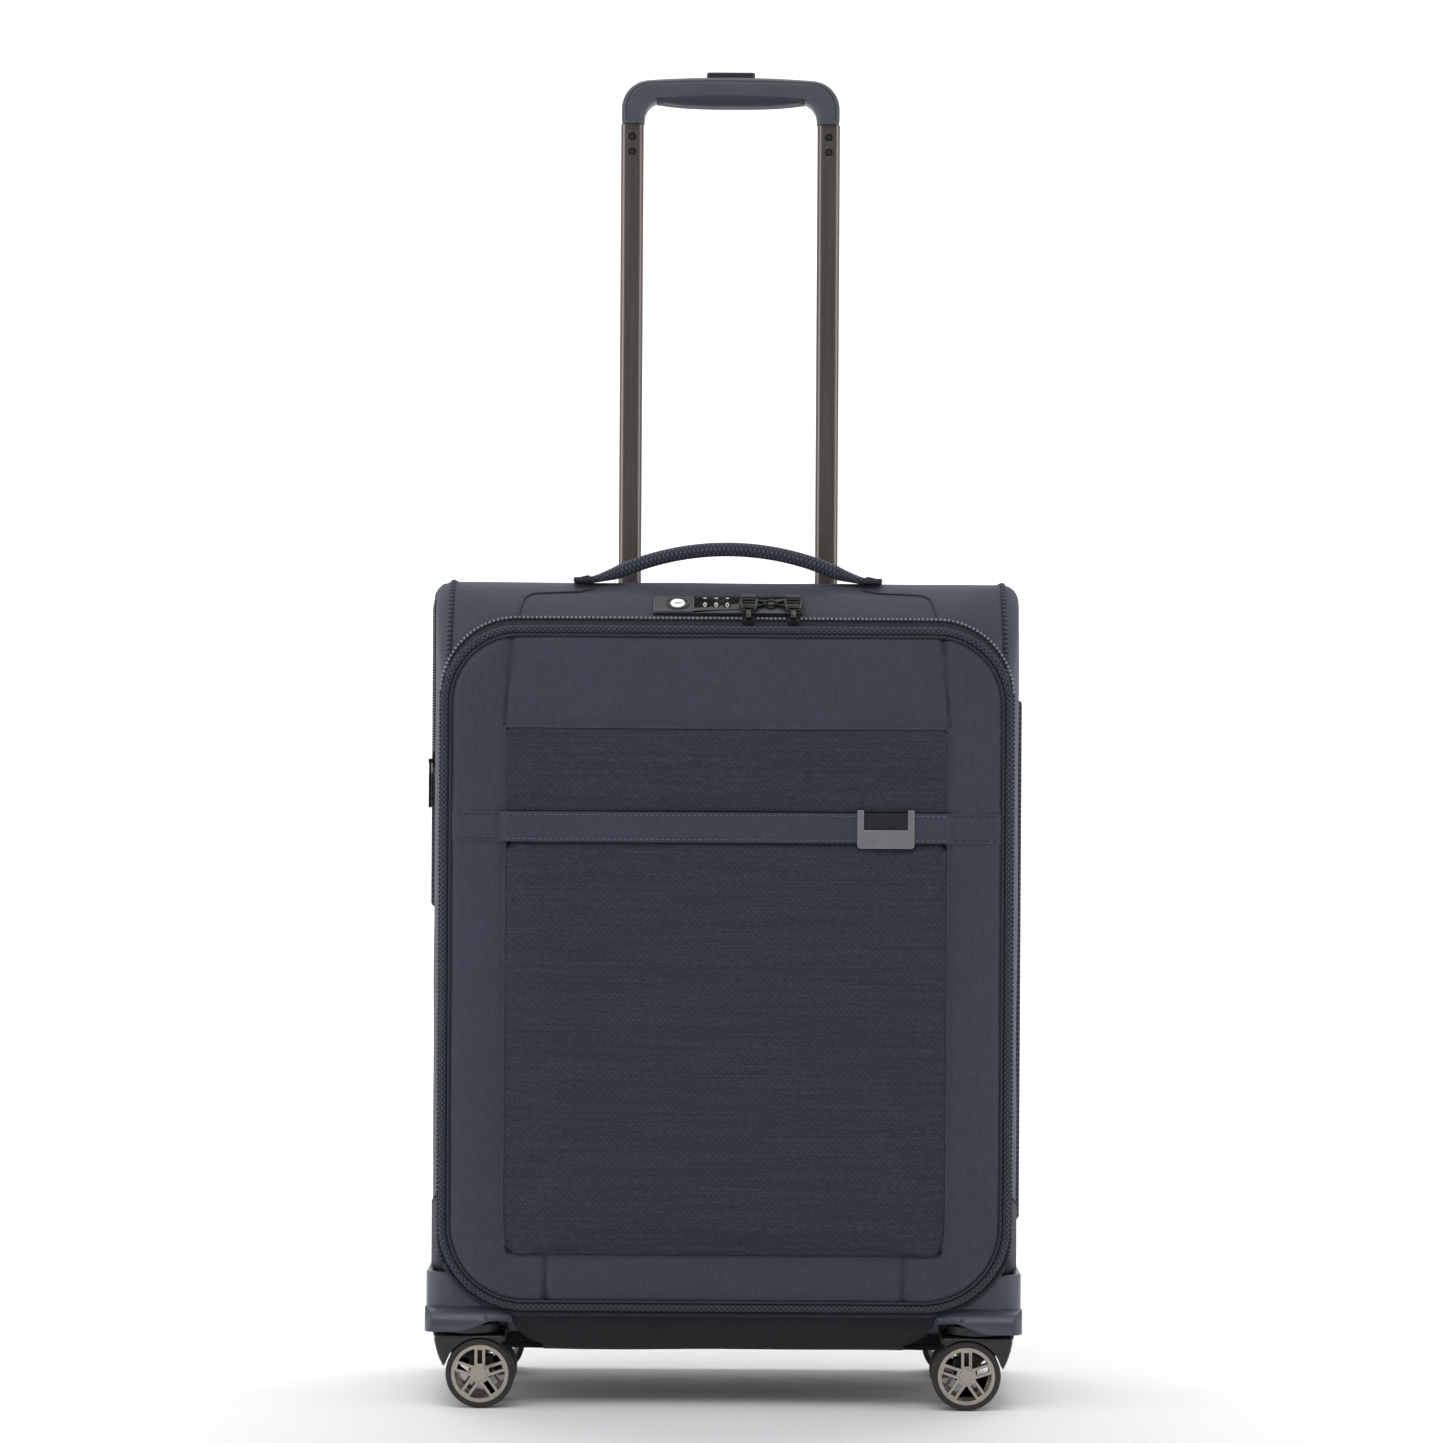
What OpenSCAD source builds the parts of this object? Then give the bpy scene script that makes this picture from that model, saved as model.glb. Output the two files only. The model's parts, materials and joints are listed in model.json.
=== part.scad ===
// Soft-sided cabin suitcase on four twin-wheel casters, with a telescopic handle.
// Millimetres. X runs across the case, Y from the lid at the front to the back board, Z up from the floor.

/* [Case] */
// Width across the two side panels
case_w = 396; // [390:1:400]
// Height of the top panel above the floor
case_top = 552; // [548:1:556]
// Height of the bottom panel above the floor
case_bottom = 31; // [29:1:33]
// Thickness of the padded fabric walls
wall = 4; // [3:0.5:5]
// Distance from the case's middle to the back board's outer face
back_y = 100; // [98:1:102]

/* [Lid] */
// Width of the lid over its piping
lid_w = 381; // [378:1:384]
// Height of the lid's upper edge above the floor
lid_top = 521.5; // [519:0.5:522]
// Height of the lid's lower edge above the floor
lid_bottom = 65; // [62:1:68]
// Radius of the lid's two upper corners
lid_r_top = 52; // [44:1:56]
// Radius of the lid's two lower corners
lid_r_bottom = 58; // [50:1:60]
// Radius of the lid's piping cord
piping_r = 2.6; // [2:0.1:3]

/* [Pockets and badge] */
// Width of the two ribbed pocket panels
pocket_w = 297; // [280:1:310]
// Height of the lower pocket's bottom edge above the floor
pocket_bottom = 101; // [95:1:110]
// Height of the sewn strip's lower edge above the floor
strip_z = 377.5; // [370:0.5:385]
// Width of the sewn strip
strip_h = 20; // [16:1:24]
// Height of the upper pocket panel
upper_pocket_h = 58; // [50:1:66]
// Width of the metal badge
badge_w = 38; // [34:1:42]

/* [Trolley handle] */
// Distance between the centres of the two tubes
tube_pitch = 138; // [134:1:142]
// Height of the grip's top above the floor, extended
grip_top = 910; // [900:1:915]
// Travel of the handle into the case
trolley_travel = 355; // [340:1:360]
// Travel of the release button
button_travel = 2.5; // [2:0.1:2.5]

/* [Casters] */
// Diameter of a wheel over its tyre
wheel_d = 46; // [44:1:47]
// Width of a twin wheel over both tyres
wheel_w = 44; // [42:1:46]
// Distance from the middle of the case to a swivel axis, across
swivel_x = 170; // [168:1:172]
// Distance from the middle of the case to a swivel axis, front to back
swivel_y = 74; // [72:1:75]
// Horizontal distance from a swivel axis to its wheel axle
trail = 8; // [6:1:10]

/* [Hidden] */
$fn = 48;
eps = 0.01;

navy = [0.16, 0.18, 0.24];
dark_navy = [0.10, 0.11, 0.14];
gunmetal = [0.36, 0.32, 0.30];
nickel = [0.62, 0.59, 0.54];
black = [0.05, 0.05, 0.06];

// The open front rim of the case, where the main zip runs
rim_y = -83;
rim_w = lid_w - 5;
rim_top = lid_top - 1.5;
rim_bottom = lid_bottom + 1;
// The shoulder is the padded slope from the rim out to the full outline of the case
shoulder_d = 53;
shoulder_steps = 5;
case_r = 12;
// The rounded edge between the walls and the back board
rear_r = 16;
rear_steps = 4;
rear_end = 75;
board_t = 5;
seam_x = case_w / 2 - 12;
lining_gap = 0.4;
lining_t = 1;
lining_back = 54.5;

// Lid, from front to back
lid_face_y = -96;
lid_back_y = -88;
tape_t = 1.3;
body_tape_front = -86.2;
pocket_t = 3;
lid_piping_y = -93.4;
hinge_y = -86.4;

// Housings that carry the casters
housing_x = 122;
housing_y = 30;
housing_top = 89;
housing_w = case_w + 3;
housing_front = -86;
housing_back = 99.6;
housing_r = 16;
housing_wall = 5.4;
skirt_z = 48.5;
plate_z = 56;
plate_t = 4;
well_r = 25;

// Lock on the shoulder's slope
lock_y = -68.7;
lock_z = 535.5;
lock_slope = 37;
lock_w = 100;
lock_h = 19;
plate_top = 1.2;
dial_x = [-15.3, -7.8, -0.3];
dial_r = 5.6;
dial_w = 3.6;
dial_bore = 1;
dial_z = -3.9;
key_x = -33.6;
key_r = 5;
lock_button_x = 29;
slider_x = [14, 44];
slider_hinge = [-86, 527.5];

// Telescopic handle
trolley_y = 70;
tube_size = [16, 11];
tube_wall = 1.3;
outer_gap = 0.35;
outer_wall = 1.85;
grip_w = 153;
grip_depth = 24;
leg_bottom = grip_top - 32.5;
leg_w = 16;
bar_t = 12.7;
tube_bottom = 482;
tang_bottom = 850;
screw_z = [868.5, 858];
rod_r = 1.5;
rod_bottom = 498;
rod_x = tube_pitch / 2 - 3;
yoke_half = rod_x + 2;
yoke_z = [grip_top - 8.8, grip_top - 6.8];
bezel_cup_w = grip_w + 9;
bezel_cup_d = grip_depth + 6;
pin_z = 490;
pin_r = 1.9;
pin_reach = 1.7;
outer_bottom = 90;
bezel_floor = 519;

// Carry handle, an arc of a large circle that stands on the shoulder's ridge
carry_y = -38;
carry_top = 579.3;
carry_t = 9;
carry_w = 21;
carry_r = 183;
carry_half = 92;
carry_base = case_top + 0.6;

// Caster parts
wheel_r = wheel_d / 2;
rim_r = 19.3;
disc_w = 15;
rim_face_w = 13;
axle_r = 2.5;
pin_top = 60;
hood_r = 20.5;
hood_z = [49.3, 55.4];
swivel_r = 4;
run_gap = 0.05;

// Side zip on the left, with its slider
side_zip_y = -12;
side_zip_w = 8;
side_slider_z = 431;

// ---------- shared shapes ----------

// A rounded rectangle from x -w/2 to w/2 and y low to high, with its own lower and upper corner radii
module round_outline(w, low, high, r_low, r_high) {
    for (s = [-1, 1]) {
        translate([s * (w / 2 - r_low), low + r_low]) circle(r_low);
        translate([s * (w / 2 - r_high), high - r_high]) circle(r_high);
    }
    translate([-w / 2, low + r_low]) square([w, high - low - r_low - r_high]);
    translate([-w / 2 + r_low, low]) square([w - 2 * r_low, r_low + eps]);
    translate([-w / 2 + r_high, high - r_high - eps]) square([w - 2 * r_high, r_high + eps]);
}

// Stands an outline drawn in X and Z up between two depths
module upright(front, back) {
    translate([0, back, 0]) rotate([90, 0, 0]) linear_extrude(back - front) children();
}

module rounded_tube_outline(size, grow = 0) {
    w = size[0] + 2 * grow;
    h = size[1] + 2 * grow;
    round_outline(w, -h / 2, h / 2, h / 2 - 0.5, h / 2 - 0.5);
}

module box_at(low, high) {
    translate(low) cube(high - low);
}

module both_sides() {
    children();
    mirror([1, 0, 0]) children();
}

// ---------- case walls ----------

// How far the shoulder has risen, from 0 at the rim to 1 at the ridge
function shoulder(u) = 1 - pow(1 - u, 2);

// Each section is [y, half width, bottom, top, upper corner radius, lower corner radius]
front_sections = [
    for (i = [0:shoulder_steps])
        let (u = i / shoulder_steps, f = shoulder(u))
            [
                rim_y + u * shoulder_d,
                rim_w / 2 + f * (case_w - rim_w) / 2,
                rim_bottom - f * (rim_bottom - case_bottom),
                rim_top + f * (case_top - rim_top),
                lid_r_top + u * (case_r - lid_r_top),
                lid_r_bottom + u * (case_r - lid_r_bottom)
            ]
];
rear_sections = [
    for (i = [0:rear_steps])
        let (a = rear_end * i / rear_steps, inset = rear_r * (1 - cos(a)))
            [
                back_y - rear_r + rear_r * sin(a),
                case_w / 2 - inset,
                case_bottom + inset,
                case_top - inset,
                case_r,
                case_r
            ]
];
sections = concat(front_sections, rear_sections);
last_section = rear_sections[rear_steps];
board_half = last_section[1] - wall;

module section_slab(s, inset = 0, thick = eps, y = undef) {
    at = is_undef(y) ? s[0] : y;
    upright(at, at + thick)
        round_outline(2 * (s[1] - inset), s[2] + inset, s[3] - inset, s[5] - inset, s[4] - inset, $fn = 32);
}

module case_solid(inset) {
    for (i = [0:len(sections) - 2])
        hull() {
            section_slab(sections[i], inset);
            section_slab(sections[i + 1], inset);
        }
}

module case_cavity() {
    case_solid(wall);
    section_slab(front_sections[0], wall, thick = 2, y = rim_y - 1);
    section_slab(last_section, wall, thick = board_t + 2, y = last_section[0] - 0.5);
}

module case_shell() {
    difference() {
        case_solid(0);
        case_cavity();
        both_sides() {
            housing_region(-1);
            housing_region(1);
        }
    }
}

// The corner of the case that a housing takes up, at the front or the back
module housing_region(end) {
    low_y = end < 0 ? -130 : housing_y;
    box_at([housing_x, low_y, 0], [230, low_y + 100, housing_top]);
}

// A side panel reaches in to the seam at its ends, and round both edges between them
module side_region() {
    box_at([seam_x, -120, 0], [230, 130, 600]);
    box_at([150, -120, housing_top], [230, 130, rim_top - lid_r_top]);
}

module side_panel(side) {
    color(navy) mirror([side > 0 ? 1 : 0, 0, 0]) intersection() {
        case_shell();
        mirror([1, 0, 0]) side_region();
    }
}

// The walls that both side panels leave, above or below a height
module between_sides(low, high) {
    difference() {
        intersection() {
            case_shell();
            box_at([-230, -120, low], [230, 130, high]);
        }
        both_sides() side_region();
    }
}

module top_panel() {
    color(navy) difference() {
        between_sides(300, 600);
        translate([0, trolley_y, 500]) linear_extrude(100)
            round_outline(bezel_cup_w, -bezel_cup_d / 2, bezel_cup_d / 2, 9, 9);
        on_lock_slope() {
            box_at([-lock_w / 2 + 3, -lock_h / 2 + 2, -20], [lock_w / 2 - 3, lock_h / 2 - 2, 10]);
            box_at([-lock_w / 2, -lock_h / 2, -plate_top], [lock_w / 2, lock_h / 2, 10]);
        }
    }
}

module bottom_panel() {
    color(dark_navy) between_sides(0, 300);
}

module back_panel() {
    s = last_section;
    color(dark_navy) upright(back_y - board_t, back_y)
        round_outline(2 * board_half, s[2] + wall, s[3] - wall, case_r - wall, case_r - wall);
}

// Height of the case's top surface at the seam plane, where the corner radius pulls it down
function seam_drop(s) =
    let (past = seam_x - (s[1] - s[4])) past > 0 ? s[4] - sqrt(pow(s[4], 2) - pow(past, 2)) : 0;

// A cord of round section along points in one YZ plane
module cord_in_plane(x, points, r, sides = 8) {
    n = len(points);
    rings = [
        for (i = [0:n - 1])
            let (
                a = points[max(i - 1, 0)],
                b = points[min(i + 1, n - 1)],
                t = (b - a) / norm(b - a)
            )
                for (k = [0:sides - 1])
                    let (w = 360 * k / sides)
                        [
                            x + r * cos(w),
                            points[i][0] - r * sin(w) * t[1],
                            points[i][1] + r * sin(w) * t[0]
                        ]
    ];
    walls = [
        for (i = [0:n - 2])
            for (k = [0:sides - 1])
                let (j = (k + 1) % sides)
                    [i * sides + k, i * sides + j, (i + 1) * sides + j, (i + 1) * sides + k]
    ];
    polyhedron(rings, concat(
        [[for (k = [sides - 1:-1:0]) k]],
        walls,
        [[for (k = [0:sides - 1]) (n - 1) * sides + k]]
    ));
}

// Piping along the seam between the shoulder and a side panel, over the top and down the back
module body_piping() {
    r = 2;
    kept = [for (s = sections) if (s[1] > seam_x + 0.2) s];
    over = [for (s = kept) [s[0], s[3] - seam_drop(s) + r * 0.6]];
    back = [over[len(over) - 1][0] + 0.6, case_top - 30];
    down = [for (z = [case_top - 60:-120:housing_top + 60]) [back[0], z]];
    end = [back[0], housing_top + 4];
    color(black) for (side = [-1, 1])
        cord_in_plane(side * (seam_x + 0.4), concat(over, [back], down, [end]), r);
}

module rim_outline(inset) {
    round_outline(
        rim_w - 2 * inset, rim_bottom + inset, rim_top - inset, lid_r_bottom - inset, lid_r_top - inset
    );
}

module body_zips() {
    color(black) {
        upright(body_tape_front, rim_y) difference() {
            rim_outline(0);
            rim_outline(wall);
        }
        side_zip(-1, 426, 540);
        side_zip(1, 115, 475);
    }
}

module side_zip(side, low, high) {
    x = side * case_w / 2;
    t = side * 1.2;
    box_at(
        [min(x, x + t), side_zip_y - side_zip_w / 2, low],
        [max(x, x + t), side_zip_y + side_zip_w / 2, high]
    );
}

// The lining follows the walls, with a floor over the housings and a deeper one between them
module lining_solid(inset) {
    intersection() {
        case_solid(wall + lining_gap + inset);
        union() {
            box_at([-200, rim_y - 1, 65 + inset], [200, lining_back - inset, 560]);
            box_at([-114 + inset, rim_y + 36 + inset, 0], [114 - inset, lining_back - inset, 70]);
        }
    }
}

module lining() {
    color([0.2, 0.22, 0.3]) difference() {
        lining_solid(0);
        lining_solid(lining_t);
        box_at([-250, rim_y - 5, 0], [250, rim_y + 3, 600]);
        on_lock_slope() box_at([-lock_w / 2, -lock_h / 2, -20], [lock_w / 2, lock_h / 2, 10]);
    }
}

// Two straps on the lining's back wall, joined by a side-release buckle
module tie_straps() {
    y = lining_back - lining_t;
    color(black) for (x = [-60, 60]) {
        box_at([x - 12.5, y - 1.6, 90], [x + 12.5, y, 500]);
        box_at([x - 17, y - 9, 270], [x + 17, y - 1.6, 318]);
    }
}

// ---------- wheel housings ----------

// Plan of the housing at the right; end is -1 at the front and 1 at the back
module housing_plan(end, inset, over = 0) {
    r = housing_r - inset;
    low = end < 0 ? housing_front : housing_y - over;
    high = end < 0 ? over - housing_y : housing_back;
    side = housing_x - over;
    out = housing_w / 2 - inset;
    edge = end < 0 ? low + inset : high - inset;
    translate([out - r, edge - end * r]) circle(r);
    translate([side, edge - (end < 0 ? 0 : r)]) square([out - r - side, r]);
    translate([side, end < 0 ? edge + r : low]) square([out - side, high - low - inset - r]);
}

module wheel_housing(end) {
    sy = end * swivel_y;
    low_y = end < 0 ? -120 : sy;
    difference() {
        translate([0, 0, skirt_z]) linear_extrude(housing_top - skirt_z) housing_plan(end, 0);
        translate([0, 0, plate_z + plate_t]) linear_extrude(60) housing_plan(end, housing_wall, 1);
        translate([swivel_x, sy, 0]) cylinder(r = well_r, h = plate_z);
        box_at([housing_x - 1, low_y, 0], [swivel_x + 4.5, low_y + 120 - swivel_y, plate_z]);
        translate([swivel_x, sy, plate_z - 1]) cylinder(r = swivel_r, h = plate_t + 2);
        if (end < 0) {
            upright(rim_y - 20, rim_y) rim_outline(-0.5);
            upright(rim_y - 1, rim_y + 10) rim_outline(wall);
        } else {
            box_at([0, back_y - board_t - 0.2, 0], [board_half + 0.3, 120, 120]);
        }
    }
}

module wheel_housings(end) {
    color([0.13, 0.15, 0.18]) both_sides() wheel_housing(end);
}

module at_casters(ends) {
    for (side = [-1, 1], end = ends) translate([side * swivel_x, end * swivel_y, 0]) children();
}

// Each swivel pin is held in its housing's plate by a broad head
module swivel_pins() {
    color(nickel) at_casters([-1, 1]) {
        translate([0, 0, 39]) cylinder(r = swivel_r, h = pin_top - 39);
        translate([0, 0, pin_top]) cylinder(r = 6.5, h = 2);
    }
}

// ---------- casters ----------

module at_caster(side, end) {
    translate([side * swivel_x, end * swivel_y, 0]) mirror([side > 0 ? 1 : 0, 0, 0]) children();
}

module along_y(length) {
    translate([0, length / 2, 0]) rotate([90, 0, 0]) linear_extrude(length) children();
}

// The fork's hood turns under the housing, and its web runs down between the two discs
module fork(side, end) {
    color(dark_navy) at_caster(side, end) difference() {
        union() {
            translate([0, 0, hood_z[0]]) cylinder(r = hood_r, h = hood_z[1] - hood_z[0]);
            translate([0, 0, 34]) cylinder(r = 6.3, h = hood_z[0] - 33);
            along_y(11) {
                intersection() {
                    translate([0, hood_z[0] + 2]) circle(hood_r);
                    translate([-30, 28]) square([60, hood_z[0] - 27]);
                }
                translate([trail, wheel_r]) circle(8);
                translate([trail - 8, wheel_r]) square([16, 10]);
            }
        }
        translate([0, 0, 38]) cylinder(r = swivel_r + run_gap, h = 30);
        translate([trail, 0, wheel_r]) rotate([90, 0, 0]) cylinder(r = axle_r, h = 40, center = true);
    }
}

module axle(side, end) {
    color(nickel) at_caster(side, end) translate([trail, 0, wheel_r]) rotate([90, 0, 0])
        cylinder(r = axle_r, h = wheel_w - 7, center = true);
}

// Five double spokes: two parallel bars each, with a slot between them
module rim_face() {
    difference() {
        circle(rim_r - 0.5);
        circle(axle_r + run_gap);
        difference() {
            circle(16.6);
            circle(5.6);
            for (i = [0:4]) rotate(i * 72 + 90) translate([0, -3.6]) square([20, 7.2]);
        }
        for (i = [0:4]) rotate(i * 72 + 90) translate([6.6, -1.6]) square([9, 3.2]);
    }
}

module disc_rim() {
    difference() {
        union() {
            along_y(rim_face_w) difference() {
                circle(rim_r);
                circle(16.6);
            }
            along_y(rim_face_w) circle(5.6);
            translate([0, -rim_face_w / 2 + 1.5, 0]) along_y(3) rim_face();
        }
        rotate([90, 0, 0]) cylinder(r = axle_r + run_gap, h = 40, center = true);
    }
    translate([0, -rim_face_w / 2 - 0.4, 0]) along_y(0.8) circle(4.8);
}

module rims(side, end) {
    centre = (wheel_w - disc_w) / 2;
    color(nickel) at_caster(side, end) translate([trail, 0, wheel_r]) {
        translate([0, -centre, 0]) disc_rim();
        mirror([0, 1, 0]) translate([0, -centre, 0]) disc_rim();
    }
}

// A tyre's tread is rounded at both shoulders
module disc_tyre() {
    shoulder_r = 2;
    rotate([90, 0, 0]) rotate_extrude() difference() {
        translate([rim_r, -disc_w / 2]) square([wheel_r - rim_r, disc_w]);
        for (s = [-1, 1]) translate([wheel_r - shoulder_r, s * (disc_w / 2 - shoulder_r)]) difference() {
            translate([0, s > 0 ? 0 : -shoulder_r - 1]) square([shoulder_r + 1, shoulder_r + 1]);
            circle(shoulder_r);
        }
    }
}

module tyres(side, end) {
    centre = (wheel_w - disc_w) / 2;
    color(black) at_caster(side, end) translate([trail, 0, wheel_r])
        for (s = [-1, 1]) translate([0, s * centre, 0]) disc_tyre();
}

// ---------- telescopic handle ----------

module at_tubes() {
    for (side = [-1, 1]) translate([side * tube_pitch / 2, trolley_y, 0]) children();
}

module at_rods() {
    for (side = [-1, 1]) translate([side * rod_x, trolley_y, 0]) children();
}

// A cup in the top panel that the grip sinks into
module handle_bezel() {
    color(black) difference() {
        union() {
            translate([0, trolley_y, bezel_floor]) linear_extrude(case_top - bezel_floor + 1)
                round_outline(bezel_cup_w, -bezel_cup_d / 2, bezel_cup_d / 2, 9, 9);
            translate([0, trolley_y, case_top + 0.2]) linear_extrude(1.4)
                round_outline(bezel_cup_w + 6, -bezel_cup_d / 2 - 3, bezel_cup_d / 2 + 3, 12, 12);
        }
        translate([0, trolley_y, bezel_floor + 2]) linear_extrude(60)
            round_outline(grip_w + 5, -grip_depth / 2 - 1.3, grip_depth / 2 + 1.3, 4, 4);
        at_tubes() translate([0, 0, bezel_floor - 1]) linear_extrude(5)
            rounded_tube_outline(tube_size, outer_gap);
    }
}

// The fixed tubes have a slot at the back for the latch pins
module outer_tubes() {
    color(gunmetal) at_tubes() difference() {
        translate([0, 0, outer_bottom]) linear_extrude(bezel_floor - outer_bottom)
            rounded_tube_outline(tube_size, outer_gap + outer_wall);
        translate([0, 0, outer_bottom - 1]) linear_extrude(bezel_floor)
            rounded_tube_outline(tube_size, outer_gap);
        box_at([-2.5, 3, 118], [2.5, 12, pin_z + 6]);
    }
}

// A moulded bar that holds the lower ends of the fixed tubes
module tube_foot() {
    color(black) difference() {
        box_at([-88, trolley_y - 11, outer_bottom - 8], [88, trolley_y + 11, outer_bottom + 12]);
        at_tubes() translate([0, 0, outer_bottom]) linear_extrude(20)
            rounded_tube_outline(tube_size, outer_gap + outer_wall);
    }
}

module inner_tubes() {
    color(gunmetal) at_tubes() difference() {
        translate([0, 0, tube_bottom]) linear_extrude(leg_bottom - tube_bottom)
            rounded_tube_outline(tube_size);
        translate([0, 0, tube_bottom - 1]) linear_extrude(500)
            rounded_tube_outline(tube_size, -tube_wall);
        for (z = screw_z) translate([0, 0, z]) rotate([90, 0, 0]) cylinder(r = 2.8, h = 10);
        translate([0, 10, pin_z]) rotate([90, 0, 0]) cylinder(r = pin_r + 0.3, h = 10);
    }
}

module grip_outline() {
    arch_r = 460;
    corner_r = 20;
    inner_r = 14;
    difference() {
        intersection() {
            union() {
                for (s = [-1, 1])
                    translate([s * (grip_w / 2 - corner_r), grip_top - corner_r]) circle(corner_r);
                translate([-grip_w / 2, leg_bottom]) square([grip_w, grip_top - corner_r - leg_bottom]);
                translate([-grip_w / 2 + corner_r, grip_top - 30]) square([grip_w - 2 * corner_r, 30]);
            }
            translate([0, grip_top - arch_r]) circle(arch_r, $fn = 360);
            translate([-grip_w / 2, leg_bottom]) square([grip_w, grip_top - leg_bottom]);
        }
        inner_w = grip_w - 2 * leg_w;
        inner_top = grip_top - bar_t;
        for (s = [-1, 1]) translate([s * (inner_w / 2 - inner_r), inner_top - inner_r]) circle(inner_r);
        translate([-inner_w / 2, leg_bottom - 1]) square([inner_w, inner_top - inner_r - leg_bottom + 1]);
        translate([-inner_w / 2 + inner_r, inner_top - inner_r - 1])
            square([inner_w - 2 * inner_r, inner_r + 1]);
    }
}

// The grip's legs end in tangs that are screwed into the tubes
module handle_grip() {
    color(dark_navy) difference() {
        union() {
            upright(trolley_y - grip_depth / 2, trolley_y + grip_depth / 2) grip_outline();
            at_tubes() translate([0, 0, tang_bottom]) linear_extrude(leg_bottom - tang_bottom + 1)
                rounded_tube_outline(tube_size, -tube_wall - 0.1);
        }
        box_at(
            [-yoke_half - 0.8, trolley_y - 4, yoke_z[0] - button_travel - 0.4],
            [yoke_half + 0.8, trolley_y + 4, yoke_z[1] + 0.3]
        );
        box_at(
            [-17.4, trolley_y - 8.4, yoke_z[1] - button_travel - 0.3],
            [17.4, trolley_y + 8.4, grip_top + 5]
        );
        at_rods() translate([0, 0, tang_bottom - 1]) cylinder(r = rod_r + 0.5, h = yoke_z[0] - tang_bottom);
        at_tubes() for (z = screw_z) translate([0, 0, z]) rotate([90, 0, 0]) cylinder(r = 1.2, h = 10);
    }
}

// A soft pad that swells under the grip's bar
module grip_pad() {
    half = 56;
    swell = 7.5;
    r = (pow(half, 2) + pow(swell, 2)) / (2 * swell);
    top = grip_top - bar_t;
    color(navy) upright(trolley_y - 10, trolley_y + 10) difference() {
        intersection() {
            translate([0, top - swell + r]) circle(r, $fn = 360);
            translate([-half, top - 20]) square([2 * half, 20]);
        }
        grip_outline();
    }
}

module grip_screws() {
    color(nickel) at_tubes() for (z = screw_z) translate([0, 0, z]) rotate([90, 0, 0]) {
        translate([0, 0, tube_size[1] / 2 - 1.25]) cylinder(r = 2.7, h = 1.2);
        translate([0, 0, 2.6]) cylinder(r = 1.2, h = tube_size[1] / 2 - 1.25 - 2.6 + eps);
    }
}

module release_button() {
    color(black) translate([0, trolley_y, yoke_z[1]]) linear_extrude(grip_top + 3.6 - yoke_z[1])
        round_outline(34, -8, 8, 3, 3);
}

// A yoke under the button pushes one long rod down each tube
module latch_rods() {
    color(nickel) {
        box_at([-yoke_half, trolley_y - 3.5, yoke_z[0]], [yoke_half, trolley_y + 3.5, yoke_z[1]]);
        at_rods() translate([0, 0, rod_bottom]) cylinder(r = rod_r, h = yoke_z[0] - rod_bottom + 1);
    }
}

module latch_pins() {
    tip = tube_size[1] / 2 + pin_reach;
    color(nickel) at_tubes() translate([0, tip, pin_z]) rotate([90, 0, 0]) cylinder(r = pin_r, h = tip - 1);
}

// ---------- lock and zip sliders ----------

module on_lock_slope() {
    translate([0, lock_y, lock_z]) rotate([lock_slope, 0, 0]) children();
}

module lock_housing() {
    color([0.2, 0.21, 0.23]) on_lock_slope() {
        difference() {
            union() {
                translate([0, 0, -plate_top]) linear_extrude(2 * plate_top)
                    round_outline(lock_w, -lock_h / 2, lock_h / 2, 1.5, 1.5);
                box_at([-lock_w / 2 + 3.2, -lock_h / 2 + 2.2, -11], [lock_w / 2 - 3.2, lock_h / 2 - 2.2, 0]);
                box_at([-48.5, -lock_h / 2 + 0.5, 0], [-23.5, lock_h / 2 - 0.5, 1.9]);
                for (x = slider_x) box_at([x - 5, 5.8, 0], [x + 5, 9, 3.6]);
            }
            for (x = dial_x) translate([x, 0, dial_z]) rotate([0, 90, 0])
                cylinder(r = dial_r + 0.4, h = dial_w + 0.6, center = true);
            translate([key_x, 0, -8.6]) cylinder(r = key_r + 0.1, h = 20);
            translate([lock_button_x, 0, -8.6]) cylinder(r = 2.7, h = 20);
        }
        translate([dial_x[1], 0, dial_z]) rotate([0, 90, 0])
            cylinder(r = dial_bore - run_gap, h = 26, center = true);
    }
}

// Each dial has ten flats for its numbers
module lock_dial(i) {
    color(black) on_lock_slope() translate([dial_x[i], 0, dial_z]) difference() {
        rotate([0, 90, 0]) cylinder(r = dial_r, h = dial_w, center = true);
        rotate([0, 90, 0]) cylinder(r = dial_bore, h = dial_w + 2, center = true);
        for (k = [0:9]) rotate([k * 36 + 18, 0, 0]) translate([0, 0, dial_r + 0.35])
            rotate([0, 90, 0]) cylinder(r = 0.8, h = dial_w + 1, center = true);
    }
}

module key_cylinder() {
    color([0.85, 0.85, 0.82]) on_lock_slope() difference() {
        translate([key_x, 0, -8.2]) cylinder(r = key_r, h = 10.7);
        box_at([key_x - 2.2, -0.45, 0.5], [key_x + 2.2, 0.45, 4]);
    }
}

module lock_button() {
    color(nickel) on_lock_slope() translate([lock_button_x, 0, -6.6]) cylinder(r = 2.6, h = 9.2);
}

// A slider on the main zip, with two ears that hold its puller
module main_slider(i) {
    y = slider_hinge[0];
    z = slider_hinge[1];
    color(black) translate([slider_x[i], 0, 0]) {
        box_at([-4, y - 2.6, z - 4.6], [4, y + 3.2, z - 1.9]);
        for (s = [-1, 1]) box_at([s * 3.5 - 0.6, y - 1.3, z - 2], [s * 3.5 + 0.6, y + 1.3, z + 1.3]);
        translate([0, y, z]) rotate([0, 90, 0]) cylinder(r = 0.6, h = 6, center = true);
    }
}

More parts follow.
